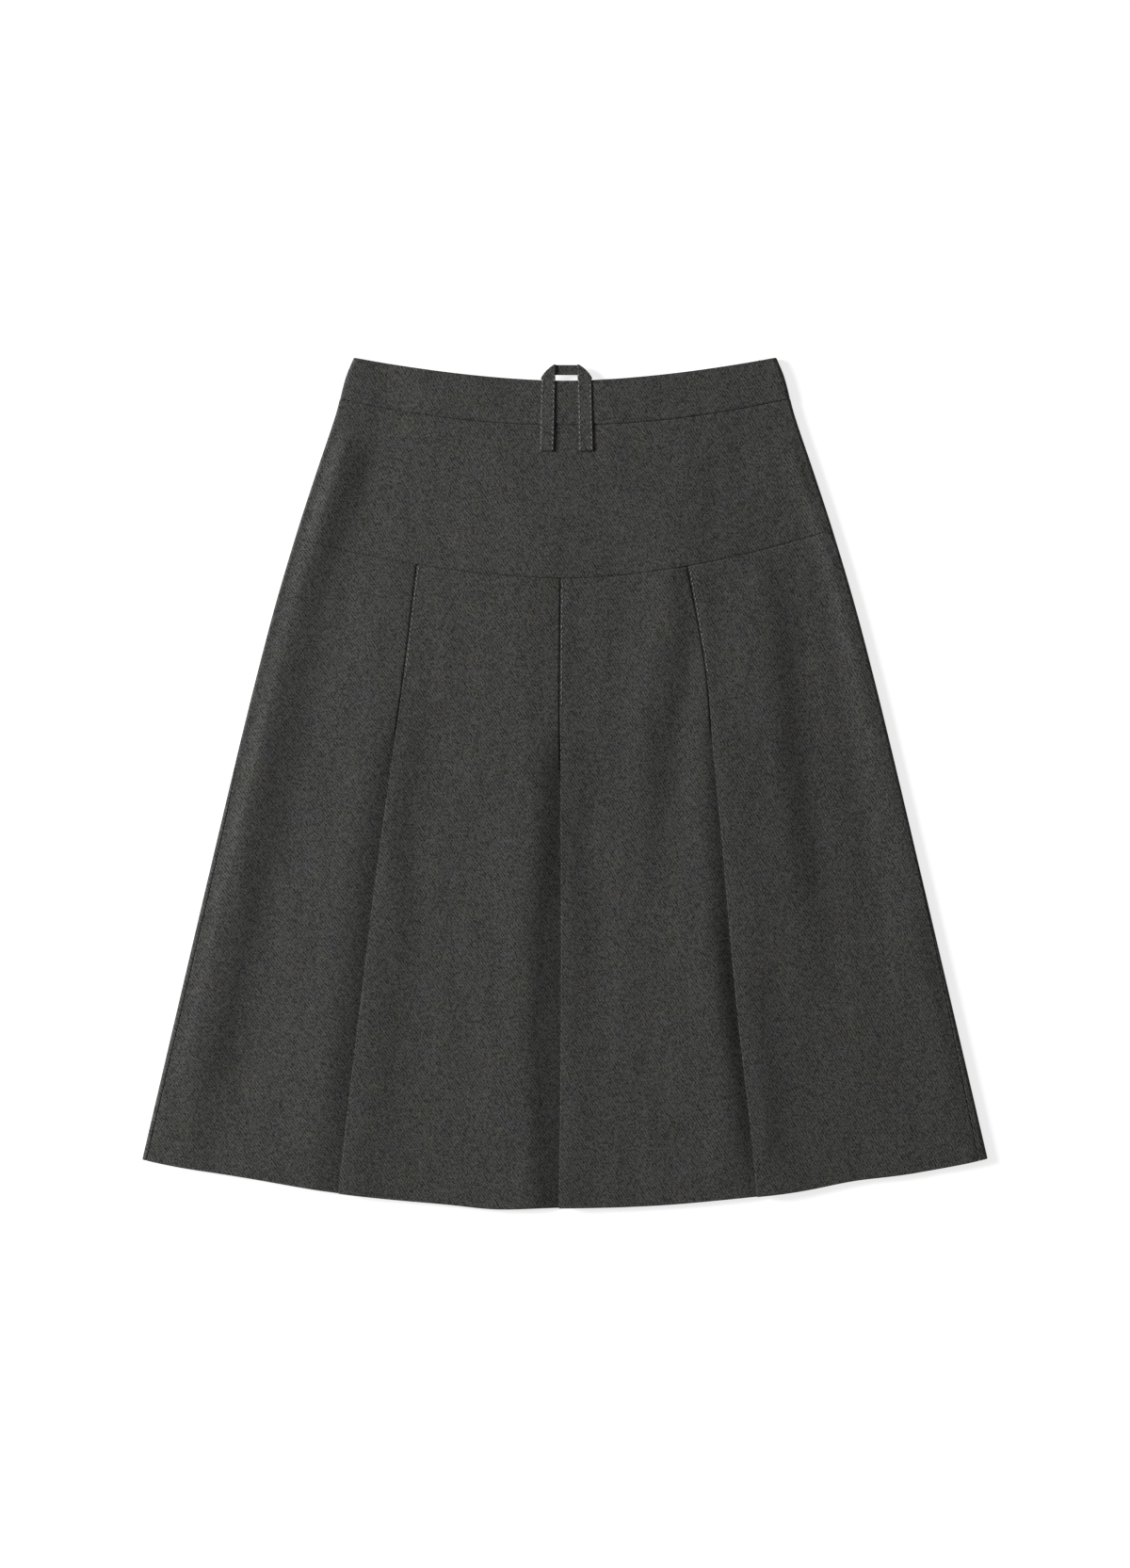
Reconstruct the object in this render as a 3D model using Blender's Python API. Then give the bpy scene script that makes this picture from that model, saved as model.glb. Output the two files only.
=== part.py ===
"""A-line skirt laid flat: curved waistband, deep front yoke, three knife pleats, side zip.

Metres. The back lies on z = 0, the front faces +Z and the waist points to +Y.
Every piece of cloth is a thin closed wall round a middle surface, built row by row from the
garment's sizes: a row is one cross-section of the skirt at one height.
"""

import math
from collections import namedtuple

import bmesh
import bpy
from mathutils import Vector

# Cloth
SKIRT_CLOTH = 0.0012       # thickness of the yoke, pleated front and back
BAND_CLOTH = 0.0020        # thickness of the doubled waistband
RIBBON_CLOTH = 0.0010      # thickness of the loop's ribbon
TAPE_CLOTH = 0.0010        # thickness of the zip tape
SEAM_GAP = 0.0003          # between two pieces that are sewn together
LAYER_PITCH = 0.0016       # from the middle of one pleat layer to the middle of the next

# Levels of the front's middle surface above the floor
FRONT_LEVEL = 0.0060
PLEAT_TOP_LEVEL = 0.0066
PLEAT_PUFF = 0.0022        # how much higher the free folded edge of a pleat stands
PUFF_FLAT, PUFF_WIDTH = 0.006, 0.040
PLEAT_BOTTOM_LEVEL = 0.0026
LEFT_RADIUS, RIGHT_RADIUS = 0.0023, 0.0027    # of the roll along each side, at the cloth's middle
SIDE_SLOPE = 0.016         # width over which the front comes down to the side roll

# Heights at the centre line, and how far each edge rises towards the sides
WAIST_CENTRE, WAIST_RISE, WAIST_POWER = 0.3340, 0.0191, 1.7
BAND_SEAM_CENTRE, BAND_SEAM_RISE = 0.2972, 0.0219
YOKE_SEAM_CENTRE, YOKE_SEAM_RISE_LEFT, YOKE_SEAM_RISE_RIGHT = 0.1704, 0.0330, 0.0406
HEM_CENTRE, HEM_RISE = -0.3513, 0.0418
WAIST_HALF, BAND_SEAM_HALF, YOKE_SEAM_HALF, HEM_HALF = 0.1743, 0.1860, 0.2225, 0.3496
YOKE_SEAM_POWER = 1.77

HemWave = namedtuple("HemWave", "place half_width lift")
HEM_WAVES = (
    HemWave(-0.345, 0.045, -0.0018),
    HemWave(-0.255, 0.045, 0.0012),
    HemWave(-0.058, 0.030, -0.0021),
    HemWave(0.140, 0.045, 0.0009),
    HemWave(0.238, 0.035, 0.0028),
    HemWave(0.340, 0.030, -0.0010),
)

Outline = namedtuple("Outline", "height half_width")
SIDE_OUTLINE = (
    Outline(0.3521, 0.1760),
    Outline(0.3370, 0.1822),
    Outline(0.3062, 0.1903),
    Outline(0.2594, 0.2060),
    Outline(0.2130, 0.2212),
    Outline(0.1502, 0.2399),
    Outline(0.0878, 0.2563),
    Outline(0.0254, 0.2716),
    Outline(-0.0683, 0.2938),
    Outline(-0.1931, 0.3231),
    Outline(-0.3085, 0.3500),
)

# How far in from the top of the side roll the side seam lies. A negative value is on the roll.
SeamPlace = namedtuple("SeamPlace", "height inset")
SEAM_ON_EDGE = -0.0031
LEFT_SEAM = (
    SeamPlace(0.3521, SEAM_ON_EDGE),
    SeamPlace(0.0600, SEAM_ON_EDGE),
    SeamPlace(-0.0140, 0.0004),
    SeamPlace(-0.0600, 0.0013),
    SeamPlace(-0.2900, 0.0013),
    SeamPlace(-0.3521, 0.0008),
)
RIGHT_SEAM = (
    SeamPlace(0.3521, SEAM_ON_EDGE),
    SeamPlace(0.0600, SEAM_ON_EDGE),
    SeamPlace(0.0050, -0.0026),
    SeamPlace(-0.1140, -0.0011),
    SeamPlace(-0.1910, 0.0009),
    SeamPlace(-0.2410, 0.0025),
    SeamPlace(-0.3521, 0.0058),
)

# Folded edges of the three knife pleats, which all turn to the same side
FoldPoint = namedtuple("FoldPoint", "height place")
LEFT_PLEAT = (
    FoldPoint(0.1850, -0.1220),
    FoldPoint(0.0878, -0.1338),
    FoldPoint(-0.0100, -0.1474),
    FoldPoint(-0.0880, -0.1580),
    FoldPoint(-0.1660, -0.1673),
    FoldPoint(-0.2440, -0.1769),
    FoldPoint(-0.3520, -0.1890),
)
CENTRE_PLEAT = (
    FoldPoint(0.1850, -0.0032),
    FoldPoint(0.0600, -0.0042),
    FoldPoint(0.0100, -0.0036),
    FoldPoint(-0.1460, -0.0032),
    FoldPoint(-0.2440, -0.0037),
    FoldPoint(-0.3520, -0.0050),
)
RIGHT_PLEAT = (
    FoldPoint(0.1850, 0.1010),
    FoldPoint(0.0963, 0.1166),
    FoldPoint(0.0290, 0.1225),
    FoldPoint(-0.0490, 0.1300),
    FoldPoint(-0.1270, 0.1367),
    FoldPoint(-0.2050, 0.1443),
    FoldPoint(-0.2830, 0.1533),
    FoldPoint(-0.3520, 0.1600),
)
Pleat = namedtuple("Pleat", "fold stitched_to")
PLEATS = (Pleat(LEFT_PLEAT, 0.086), Pleat(CENTRE_PLEAT, 0.063), Pleat(RIGHT_PLEAT, 0.090))
PUFF_START = 0.060         # from the end of the stitching to where a pleat's fold is fully free
PLEAT_DEPTH_TOP, PLEAT_DEPTH_HEM = 0.030, 0.045
DIP_WIDTH_TOP, DIP_WIDTH_HEM = 0.010, 0.024    # where a panel slopes down under the next fold
MIDDLE_SINK = 0.25                              # slope of the middle layer away from the edge
PLEAT_SHOULDER = 0.025                          # where a pleat's top layer settles to the panel
YOKE_SWELL = 0.060                              # how far the pleats lift the yoke above its seam

# Largest soft folds of the front, each from its top to its bottom end. A negative depth is a
# ridge.
SoftFold = namedtuple("SoftFold", "top_y top_x bottom_y bottom_x half_width depth")
SOFT_FOLDS = (
    SoftFold(0.265, -0.189, -0.235, -0.308, 0.018, -0.0014),
    SoftFold(0.165, -0.201, -0.335, -0.287, 0.018, 0.0010),
    SoftFold(0.100, -0.190, -0.220, -0.231, 0.027, 0.0010),
    SoftFold(0.265, -0.153, -0.235, -0.266, 0.027, 0.0015),
    SoftFold(0.265, -0.096, -0.055, -0.122, 0.027, 0.0010),
    SoftFold(0.215, -0.019, -0.285, -0.047, 0.027, -0.0009),
    SoftFold(-0.040, 0.016, -0.360, 0.002, 0.027, 0.0009),
    SoftFold(-0.120, 0.113, -0.300, 0.146, 0.027, -0.0010),
    SoftFold(0.040, 0.118, -0.280, 0.151, 0.018, -0.0016),
    SoftFold(-0.040, 0.136, -0.360, 0.172, 0.027, -0.0008),
    SoftFold(0.040, 0.165, -0.140, 0.176, 0.027, -0.0012),
    SoftFold(0.165, 0.161, -0.155, 0.199, 0.018, -0.0015),
    SoftFold(0.215, 0.190, -0.105, 0.245, 0.027, 0.0012),
    SoftFold(-0.040, 0.197, -0.360, 0.266, 0.027, 0.0009),
    SoftFold(0.165, 0.186, -0.335, 0.299, 0.027, 0.0012),
    SoftFold(0.165, 0.219, -0.155, 0.276, 0.018, 0.0010),
)
SOFT_FOLD_FADE = 0.035
LOWEST_LEVEL, LEVEL_EASE = 0.0024, 0.0006   # the folds never press the front onto the back

# Ribbon loop on the centre of the waistband
RIBBON_WIDTH = 0.0118
LOOP_FOOT_LEFT, LOOP_FOOT_RIGHT = -0.0151, 0.0175      # middles of the two feet
LOOP_TOP_LEFT, LOOP_TOP_RIGHT = -0.0136, 0.0161        # middles of the two uprights at the top
LOOP_FOOT_Y = 0.2757
LOOP_SHOULDER_Y = 0.3350                                # outer end of each 45 degree fold
LOOP_TOP_Y = 0.3470
CROSS_STRIP_BOTTOM_Y = 0.3386
LOOP_STAND_OFF = 0.0011                                 # how far the uprights arch off the band
LOOP_FOLD_PITCH = 0.0014

# Concealed zip inside the wearer's left side seam, at +X
ZIP_LENGTH = 0.190
TAPE_WIDTH = 0.012
TAPE_INSET = 0.008                                      # from the side's silhouette
SLIDER_WIDTH, SLIDER_LENGTH, SLIDER_HEIGHT = 0.0050, 0.0090, 0.0017
TAB_WIDTH, TAB_LENGTH, TAB_HEIGHT = 0.0036, 0.0160, 0.0006

# Steps of the walls
BODY_ROWS, YOKE_ROWS, BAND_ROWS = 16, 6, 3
ROLL_STEPS, PANEL_STEPS, DIP_STEPS, LAYER_STEPS, TURN_STEPS = 6, 6, 4, 3, 3
YOKE_STEPS, FLAT_STEPS = 16, 10


def smooth(fraction):
    """A soft step from 0 to 1."""
    fraction = min(max(fraction, 0.0), 1.0)
    return fraction * fraction * (3.0 - 2.0 * fraction)


def blend(start, end, fraction):
    return start + (end - start) * fraction


def read_table(table, height):
    """Read a two-column table of falling heights as a smooth curve through its rows."""
    last = len(table) - 1
    if height >= table[0][0]:
        low, high = 0, 1
    elif height <= table[last][0]:
        low, high = last - 1, last
    else:
        low = max(i for i in range(last) if table[i][0] >= height)
        high = low + 1

    def slope(i):
        before, after = table[max(i - 1, 0)], table[min(i + 1, last)]
        return (after[1] - before[1]) / (after[0] - before[0])

    span = table[high][0] - table[low][0]
    t = (height - table[low][0]) / span
    if t < 0.0 or t > 1.0:
        return table[low][1] + (height - table[low][0]) * (table[high][1] - table[low][1]) / span
    value = (2 * t**3 - 3 * t**2 + 1) * table[low][1] + (3 * t**2 - 2 * t**3) * table[high][1]
    return value + span * ((t**3 - 2 * t**2 + t) * slope(low) + (t**3 - t**2) * slope(high))


def waist_height(x):
    return WAIST_CENTRE + WAIST_RISE * (abs(x) / WAIST_HALF) ** WAIST_POWER


def band_seam_height(x):
    return BAND_SEAM_CENTRE + BAND_SEAM_RISE * (x / BAND_SEAM_HALF) ** 2


def yoke_seam_height(x):
    rise = YOKE_SEAM_RISE_LEFT if x < 0 else YOKE_SEAM_RISE_RIGHT
    return YOKE_SEAM_CENTRE + rise * (abs(x) / YOKE_SEAM_HALF) ** YOKE_SEAM_POWER


def hem_height(x):
    height = HEM_CENTRE + HEM_RISE * (x / HEM_HALF) ** 2
    for wave in HEM_WAVES:
        height += wave.lift * math.exp(-(((x - wave.place) / wave.half_width) ** 2))
    return height


def pleat_depth(y):
    down = (YOKE_SEAM_CENTRE - y) / (YOKE_SEAM_CENTRE - HEM_CENTRE)
    return blend(PLEAT_DEPTH_TOP, PLEAT_DEPTH_HEM, min(max(down, 0.0), 1.0))


def dip_width(y):
    down = (YOKE_SEAM_CENTRE - y) / (YOKE_SEAM_CENTRE - HEM_CENTRE)
    return blend(DIP_WIDTH_TOP, DIP_WIDTH_HEM, smooth(4.0 * down))


def fold_relief(x, y):
    """Height that the soft folds add at one place."""
    relief = 0.0
    for fold in SOFT_FOLDS:
        along = min(max((fold.top_y - y) / (fold.top_y - fold.bottom_y), 0.0), 1.0)
        line = blend(fold.top_x, fold.bottom_x, along)
        beyond = max(y - fold.top_y, fold.bottom_y - y, 0.0)
        fade = 1.0 - smooth(beyond / SOFT_FOLD_FADE)
        relief -= fold.depth * fade * math.exp(-(((x - line) / fold.half_width) ** 2))
    return relief


def pleat_cover(x, y):
    """Share and height of a pleat's top layer at one place.

    The share is 1 over the three layers and falls to 0 on the panel past them. Left of the fold
    it is 0, but on the yoke, which swells a little round the pleats' tops.
    """
    share, height = 0.0, PLEAT_TOP_LEVEL
    for pleat in PLEATS:
        past = x - read_table(pleat.fold, y)
        here = 0.0
        if past >= 0.0:
            here = 1.0 - smooth((past - pleat_depth(y)) / PLEAT_SHOULDER)
        elif y > yoke_seam_height(x) - SEAM_GAP:
            here = 1.0 - smooth(-past / PLEAT_SHOULDER)
        if here > share:
            free = smooth((pleat.stitched_to - y) / PUFF_START)
            puff = PLEAT_PUFF * free * (1.0 - smooth((past - PUFF_FLAT) / PUFF_WIDTH))
            share, height = here, PLEAT_TOP_LEVEL + puff
    return share, height


def front_level(x, y):
    """Height of the front's middle surface, away from the sides and the pleats' dips."""
    above_seam = max(y - yoke_seam_height(x), 0.0)
    share, height = pleat_cover(x, y)
    share *= 1.0 - smooth(above_seam / YOKE_SWELL)
    panel = FRONT_LEVEL + fold_relief(x, y)
    above = panel - LOWEST_LEVEL
    eased = LOWEST_LEVEL + (above + math.hypot(above, LEVEL_EASE)) / 2
    return blend(eased, height, share)


class SideRoll:
    """The rolled side edge of the flat skirt, followed from the front over the edge to the back."""

    def __init__(self, sign, y, thickness):
        self.sign = sign
        self.y = y
        self.floor_level = thickness / 2
        self.radius = LEFT_RADIUS if sign < 0 else RIGHT_RADIUS
        self.centre = read_table(SIDE_OUTLINE, y) - self.radius - thickness / 2

    def place(self, inset):
        """Middle point and outward direction at an inset from the top of the roll."""
        if inset >= 0.0:
            x = self.sign * (self.centre - inset)
            top = self.floor_level + 2 * self.radius
            level = blend(top, front_level(x, self.y), smooth(inset / SIDE_SLOPE))
            return (x, level, 0.0, 1.0)
        angle = -inset / self.radius
        if angle <= math.pi:
            x = self.sign * (self.centre + self.radius * math.sin(angle))
            z = self.floor_level + self.radius * (1.0 + math.cos(angle))
            return (x, z, self.sign * math.sin(angle), math.cos(angle))
        x = self.sign * (self.centre - (-inset - math.pi * self.radius))
        return (x, self.floor_level, 0.0, -1.0)


def roll_columns(roll, seam, reach, steps):
    """Places from the side seam inwards over the front, closer together near the seam."""
    return [roll.place(blend(seam, reach, (k / steps) ** 2)) for k in range(steps + 1)]


def pleat_columns(y, pleat):
    """The Z of one knife pleat: under layer, hidden fold, middle layer, shown fold, top layer."""
    fold = read_table(pleat.fold, y)
    depth = pleat_depth(y)
    radius = LAYER_PITCH / 2
    shown = fold + SKIRT_CLOTH / 2 + radius
    hidden = fold + depth - SKIRT_CLOTH / 2 - radius
    low = PLEAT_BOTTOM_LEVEL

    def middle(x):
        below_top = front_level(x, y) - LAYER_PITCH - MIDDLE_SINK * (x - shown)
        return max(low + LAYER_PITCH, below_top)

    columns = []
    for k in range(LAYER_STEPS + 1):
        columns.append((blend(shown, hidden, k / LAYER_STEPS), low, 0.0, 1.0))
    for k in range(1, TURN_STEPS):
        angle = math.pi * k / TURN_STEPS
        side, up = math.sin(angle), -math.cos(angle)
        columns.append((hidden + radius * side, low + radius + radius * up, -side, -up))
    for k in range(LAYER_STEPS + 1):
        x = blend(hidden, shown, (k / LAYER_STEPS) ** 0.6)
        columns.append((x, middle(x), 0.0, -1.0))
    for k in range(1, TURN_STEPS):
        angle = math.pi * k / TURN_STEPS
        side, up = -math.sin(angle), -math.cos(angle)
        columns.append((shown + radius * side, middle(shown) + radius + radius * up, side, up))
    for k in range(LAYER_STEPS + 1):
        x = blend(shown, fold + depth, k / LAYER_STEPS)
        columns.append((x, front_level(x, y), 0.0, 1.0))
    return columns


def panel_columns(start_x, end_x, y, steps):
    """A stretch of panel between two places, its ends left out."""
    xs = [blend(start_x, end_x, k / steps) for k in range(1, steps)]
    return [(x, front_level(x, y), 0.0, 1.0) for x in xs]


def dip_columns(y, fold):
    """The panel sloping down until it lies under the next pleat's fold."""
    columns = []
    width = dip_width(y)
    for k in range(DIP_STEPS):
        x = fold - width * (1.0 - k / DIP_STEPS)
        drop = (k / DIP_STEPS) ** 2
        columns.append((x, blend(front_level(x, y), PLEAT_BOTTOM_LEVEL, drop), 0.0, 1.0))
    return columns


def pleated_section(y):
    """One cross-section of the pleated front, from the left side seam to the right one."""
    left = SideRoll(-1, y, SKIRT_CLOTH)
    right = SideRoll(1, y, SKIRT_CLOTH)
    columns = roll_columns(left, read_table(LEFT_SEAM, y) + SEAM_GAP / 2, SIDE_SLOPE, ROLL_STEPS)
    start = columns[-1][0]
    for pleat in PLEATS:
        fold = read_table(pleat.fold, y)
        columns += panel_columns(start, fold - dip_width(y), y, PANEL_STEPS)
        columns += dip_columns(y, fold)
        columns += pleat_columns(y, pleat)
        start = columns[-1][0]
    seam = read_table(RIGHT_SEAM, y) + SEAM_GAP / 2
    end = roll_columns(right, seam, SIDE_SLOPE, ROLL_STEPS)
    columns += panel_columns(start, end[-1][0], y, PANEL_STEPS)
    return columns + end[::-1]


def plain_section(y, thickness):
    """One cross-section of the front without pleats, from side seam to side seam."""
    left = SideRoll(-1, y, thickness)
    right = SideRoll(1, y, thickness)
    start = roll_columns(left, read_table(LEFT_SEAM, y) + SEAM_GAP / 2, SIDE_SLOPE, ROLL_STEPS)
    end = roll_columns(right, read_table(RIGHT_SEAM, y) + SEAM_GAP / 2, SIDE_SLOPE, ROLL_STEPS)
    return start + panel_columns(start[-1][0], end[-1][0], y, YOKE_STEPS) + end[::-1]


def back_section(y, thickness):
    """One cross-section of the back: round the left side, flat on the floor, round the right."""
    columns = []
    for sign, seams in ((-1, LEFT_SEAM), (1, RIGHT_SEAM)):
        roll = SideRoll(sign, y, thickness)
        seam = read_table(seams, y) - SEAM_GAP / 2
        flat_start = -math.pi * roll.radius
        side = [roll.place(blend(seam, flat_start, k / ROLL_STEPS)) for k in range(ROLL_STEPS + 1)]
        columns.append(side)
    left, right = columns
    flat_xs = [blend(left[-1][0], right[-1][0], k / FLAT_STEPS) for k in range(1, FLAT_STEPS)]
    flat = [(x, thickness / 2, 0.0, -1.0) for x in flat_xs]
    return left + flat + right[::-1]


def section_rows(section, stretches):
    """Rows of (middle point, outward direction), over stretches of (top edge, bottom edge, rows).

    A column's height comes from the edges at its own x, and its x from the section at that
    height, so the two are brought together in a few rounds.
    """
    grid = []
    count = len(section(0.0))
    for top_edge, bottom_edge, rows in stretches:
        for row in range(1 if grid else 0, rows + 1):
            grid.append([settle(section, column, top_edge, bottom_edge, row / rows)
                         for column in range(count)])
    return grid


def settle(section, column, top_edge, bottom_edge, fraction):
    y = blend(top_edge(0.0), bottom_edge(0.0), fraction)
    for _ in range(4):
        x, z, out_x, out_z = section(y)[column]
        y = blend(top_edge(x), bottom_edge(x), fraction)
    return (Vector((x, y, z)), Vector((out_x, 0.0, out_z)))


def wall_mesh(name, grid, thickness):
    """A closed wall of even thickness round a grid of middle points."""
    mesh = bpy.data.meshes.new(name)
    bm = bmesh.new()
    faces = []
    for side in (0.5, -0.5):
        faces.append([[bm.verts.new(point + out * thickness * side) for point, out in line]
                      for line in grid])
    outer, inner = faces
    rows, columns = len(grid), len(grid[0])
    for i in range(rows - 1):
        for j in range(columns - 1):
            bm.faces.new((outer[i][j], outer[i + 1][j], outer[i + 1][j + 1], outer[i][j + 1]))
            bm.faces.new((inner[i][j], inner[i][j + 1], inner[i + 1][j + 1], inner[i + 1][j]))
    ring = [(0, j) for j in range(columns)]
    ring += [(i, columns - 1) for i in range(1, rows)]
    ring += [(rows - 1, j) for j in range(columns - 2, -1, -1)]
    ring += [(i, 0) for i in range(rows - 2, 0, -1)]
    for (i, j), (k, m) in zip(ring, ring[1:] + ring[:1]):
        bm.faces.new((outer[i][j], outer[k][m], inner[k][m], inner[i][j]))
    bmesh.ops.recalc_face_normals(bm, faces=bm.faces)
    bm.to_mesh(mesh)
    bm.free()
    mesh.shade_smooth()
    mesh.set_sharp_from_angle(angle=math.radians(40))
    return mesh


def finish(name, red, green, blue, roughness, metallic):
    """A material with the piece's own colour."""
    material = bpy.data.materials.new(name)
    material.use_nodes = True
    shader = material.node_tree.nodes["Principled BSDF"]
    shader.inputs["Base Color"].default_value = (red, green, blue, 1.0)
    shader.inputs["Roughness"].default_value = roughness
    shader.inputs["Metallic"].default_value = metallic
    return material


def add_piece(name, mesh, material):
    piece = bpy.data.objects.new(name, mesh)
    piece.data.materials.append(material)
    bpy.context.scene.collection.objects.link(piece)
    return piece


def shifted(edge, distance):
    """An edge curve moved up by a distance."""
    return lambda x: edge(x) + distance


def panels():
    """Waistband, yoke, pleated front and plain back."""
    half = SEAM_GAP / 2

    def yoke(y):
        return plain_section(y, SKIRT_CLOTH)

    def band(y):
        return plain_section(y, BAND_CLOTH)

    def back(y):
        return back_section(y, SKIRT_CLOTH)

    def band_back(y):
        return back_section(y, BAND_CLOTH)

    above_band_seam = shifted(band_seam_height, half)
    below_band_seam = shifted(band_seam_height, -half)
    above_yoke_seam = shifted(yoke_seam_height, half)
    below_yoke_seam = shifted(yoke_seam_height, -half)
    band_rows = ((waist_height, above_band_seam, BAND_ROWS),)
    yoke_rows = ((below_band_seam, above_yoke_seam, YOKE_ROWS),)
    body_rows = ((below_yoke_seam, hem_height, BODY_ROWS),)
    back_rows = (
        (below_band_seam, yoke_seam_height, YOKE_ROWS),
        (yoke_seam_height, hem_height, BODY_ROWS),
    )
    walls = (
        ("waistband_front", band, band_rows, BAND_CLOTH),
        ("waistband_back", band_back, band_rows, BAND_CLOTH),
        ("yoke_front", yoke, yoke_rows, SKIRT_CLOTH),
        ("skirt_front", pleated_section, body_rows, SKIRT_CLOTH),
        ("skirt_back", back, back_rows, SKIRT_CLOTH),
    )
    for name, section, stretches, thickness in walls:
        grid = section_rows(section, stretches)
        material = finish(name, 0.050, 0.050, 0.048, 0.85, 0.0)
        add_piece(name, wall_mesh(name, grid, thickness), material)


def front_face(x, y):
    """Height of the outer face of the band or the yoke at one place."""
    thickness = BAND_CLOTH if y > band_seam_height(x) else SKIRT_CLOTH
    return front_level(x, y) + thickness / 2


def loop_level(x, y):
    """Middle of the ribbon of an upright, which is tacked at its foot and arches off the band."""
    foot = front_face(x, LOOP_FOOT_Y)
    band = front_face(x, BAND_SEAM_CENTRE + BAND_CLOTH)
    climb = smooth((y - LOOP_FOOT_Y) / (BAND_SEAM_CENTRE - LOOP_FOOT_Y))
    arch = math.sin(math.pi * min((y - LOOP_FOOT_Y) / (LOOP_TOP_Y - LOOP_FOOT_Y), 1.0))
    return blend(foot, band, climb) + SEAM_GAP + RIBBON_CLOTH / 2 + LOOP_STAND_OFF * arch


def upright_rows(sign, foot_x, top_x):
    """Rows of one upright from its foot to its 45 degree fold, then round the fold."""
    rows = []
    up = Vector((0.0, 0.0, 1.0))
    steps = 8
    for k in range(steps + 1):
        t = k / steps
        x = blend(foot_x, top_x, t)
        outer_y = blend(LOOP_FOOT_Y, LOOP_SHOULDER_Y, t)
        inner_y = blend(LOOP_FOOT_Y, LOOP_TOP_Y, t)
        outer = Vector((x + sign * RIBBON_WIDTH / 2, outer_y, loop_level(x, outer_y)))
        inner = Vector((x - sign * RIBBON_WIDTH / 2, inner_y, loop_level(x, inner_y)))
        rows.append([(outer, up), ((outer + inner) / 2, up), (inner, up)])
    out = Vector((sign, 1.0, 0.0)).normalized()
    radius = LOOP_FOLD_PITCH / 2
    edge = [point for point, _ in rows[-1]]
    for angle in (math.pi / 3, 2 * math.pi / 3, math.pi):
        turn = out * math.sin(angle) + up * math.cos(angle)
        rows.append([(p + turn * radius - up * radius, turn) for p in edge])
    return rows


def loop():
    """One ribbon: up, folded at 45 degrees, across behind, folded at 45 degrees, and down."""
    left = upright_rows(-1, LOOP_FOOT_LEFT, LOOP_TOP_LEFT)
    right = upright_rows(1, LOOP_FOOT_RIGHT, LOOP_TOP_RIGHT)
    down = Vector((0.0, 0.0, -1.0))
    inner_left = left[-1][2][0]
    inner_right = right[-1][2][0]
    across = []
    for k in range(5):
        x = blend(inner_left.x, inner_right.x, k / 4)
        z = blend(inner_left.z, inner_right.z, k / 4)
        heights = (CROSS_STRIP_BOTTOM_Y, (CROSS_STRIP_BOTTOM_Y + LOOP_TOP_Y) / 2, LOOP_TOP_Y)
        across.append([(Vector((x, y, z)), down) for y in heights])
    grid = left[:-1] + across + right[-2::-1]
    material = finish("waist_loop", 0.045, 0.045, 0.044, 0.80, 0.0)
    add_piece("waist_loop", wall_mesh("waist_loop", grid, RIBBON_CLOTH), material)


def zip_place(y, inset):
    """A place inside the right side, at an inset from its silhouette."""
    return read_table(SIDE_OUTLINE, y) - TAPE_INSET - inset


def zip_tape():
    """Tape of the zip, lying on the inside of the back along the right side seam."""
    top = waist_height(WAIST_HALF) - SLIDER_LENGTH - 0.003
    up = Vector((0.0, 0.0, 1.0))
    level = BAND_CLOTH + SEAM_GAP + TAPE_CLOTH / 2
    grid = []
    steps = 10
    for k in range(steps + 1):
        y = top - ZIP_LENGTH * k / steps
        line = [(Vector((zip_place(y, TAPE_WIDTH * j / 2), y, level)), up) for j in range(3)]
        grid.append(line)
    material = finish("zip_tape", 0.040, 0.040, 0.040, 0.80, 0.0)
    add_piece("zip_tape", wall_mesh("zip_tape", grid, TAPE_CLOTH), material)


def zip_slider():
    """Slider body above the tape's end, with its tab lying along the tape in one piece."""
    top = waist_height(WAIST_HALF) - 0.002
    joint_y = top - SLIDER_LENGTH
    base = BAND_CLOTH + SEAM_GAP
    tab_base = base + TAPE_CLOTH + SEAM_GAP / 2
    centre_x = zip_place(top, TAPE_WIDTH / 2)
    lean = zip_place(joint_y - TAB_LENGTH, 0.0) - zip_place(joint_y, 0.0)
    stations = (
        (top, 0.7 * SLIDER_WIDTH, base, base + SLIDER_HEIGHT, 0.0),
        (top - 0.002, SLIDER_WIDTH, base, base + SLIDER_HEIGHT, 0.0),
        (joint_y + 0.001, 0.8 * SLIDER_WIDTH, base, base + SLIDER_HEIGHT, 0.0),
        (joint_y, 0.6 * TAB_WIDTH, tab_base, tab_base + TAB_HEIGHT, 0.0),
        (joint_y - 0.6 * TAB_LENGTH, TAB_WIDTH, tab_base, tab_base + TAB_HEIGHT, 0.6 * lean),
        (joint_y - TAB_LENGTH, 0.6 * TAB_WIDTH, tab_base, tab_base + TAB_HEIGHT, lean),
    )
    bm = bmesh.new()
    rings = []
    for y, width, low, high, shift in stations:
        x = centre_x + shift
        corners = ((-0.5, low), (0.5, low), (0.5, high), (-0.5, high))
        rings.append([bm.verts.new((x + side * width, y, z)) for side, z in corners])
    for ring, following in zip(rings, rings[1:]):
        for k in range(4):
            m = (k + 1) % 4
            bm.faces.new((ring[k], ring[m], following[m], following[k]))
    bm.faces.new(rings[0])
    bm.faces.new(rings[-1])
    bmesh.ops.recalc_face_normals(bm, faces=bm.faces)
    mesh = bpy.data.meshes.new("zip_slider")
    bm.to_mesh(mesh)
    bm.free()
    add_piece("zip_slider", mesh, finish("zip_slider", 0.10, 0.10, 0.10, 0.35, 1.0))


def main():
    for old in list(bpy.context.scene.objects):
        bpy.data.objects.remove(old, do_unlink=True)
    panels()
    loop()
    zip_tape()
    zip_slider()


main()
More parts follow.
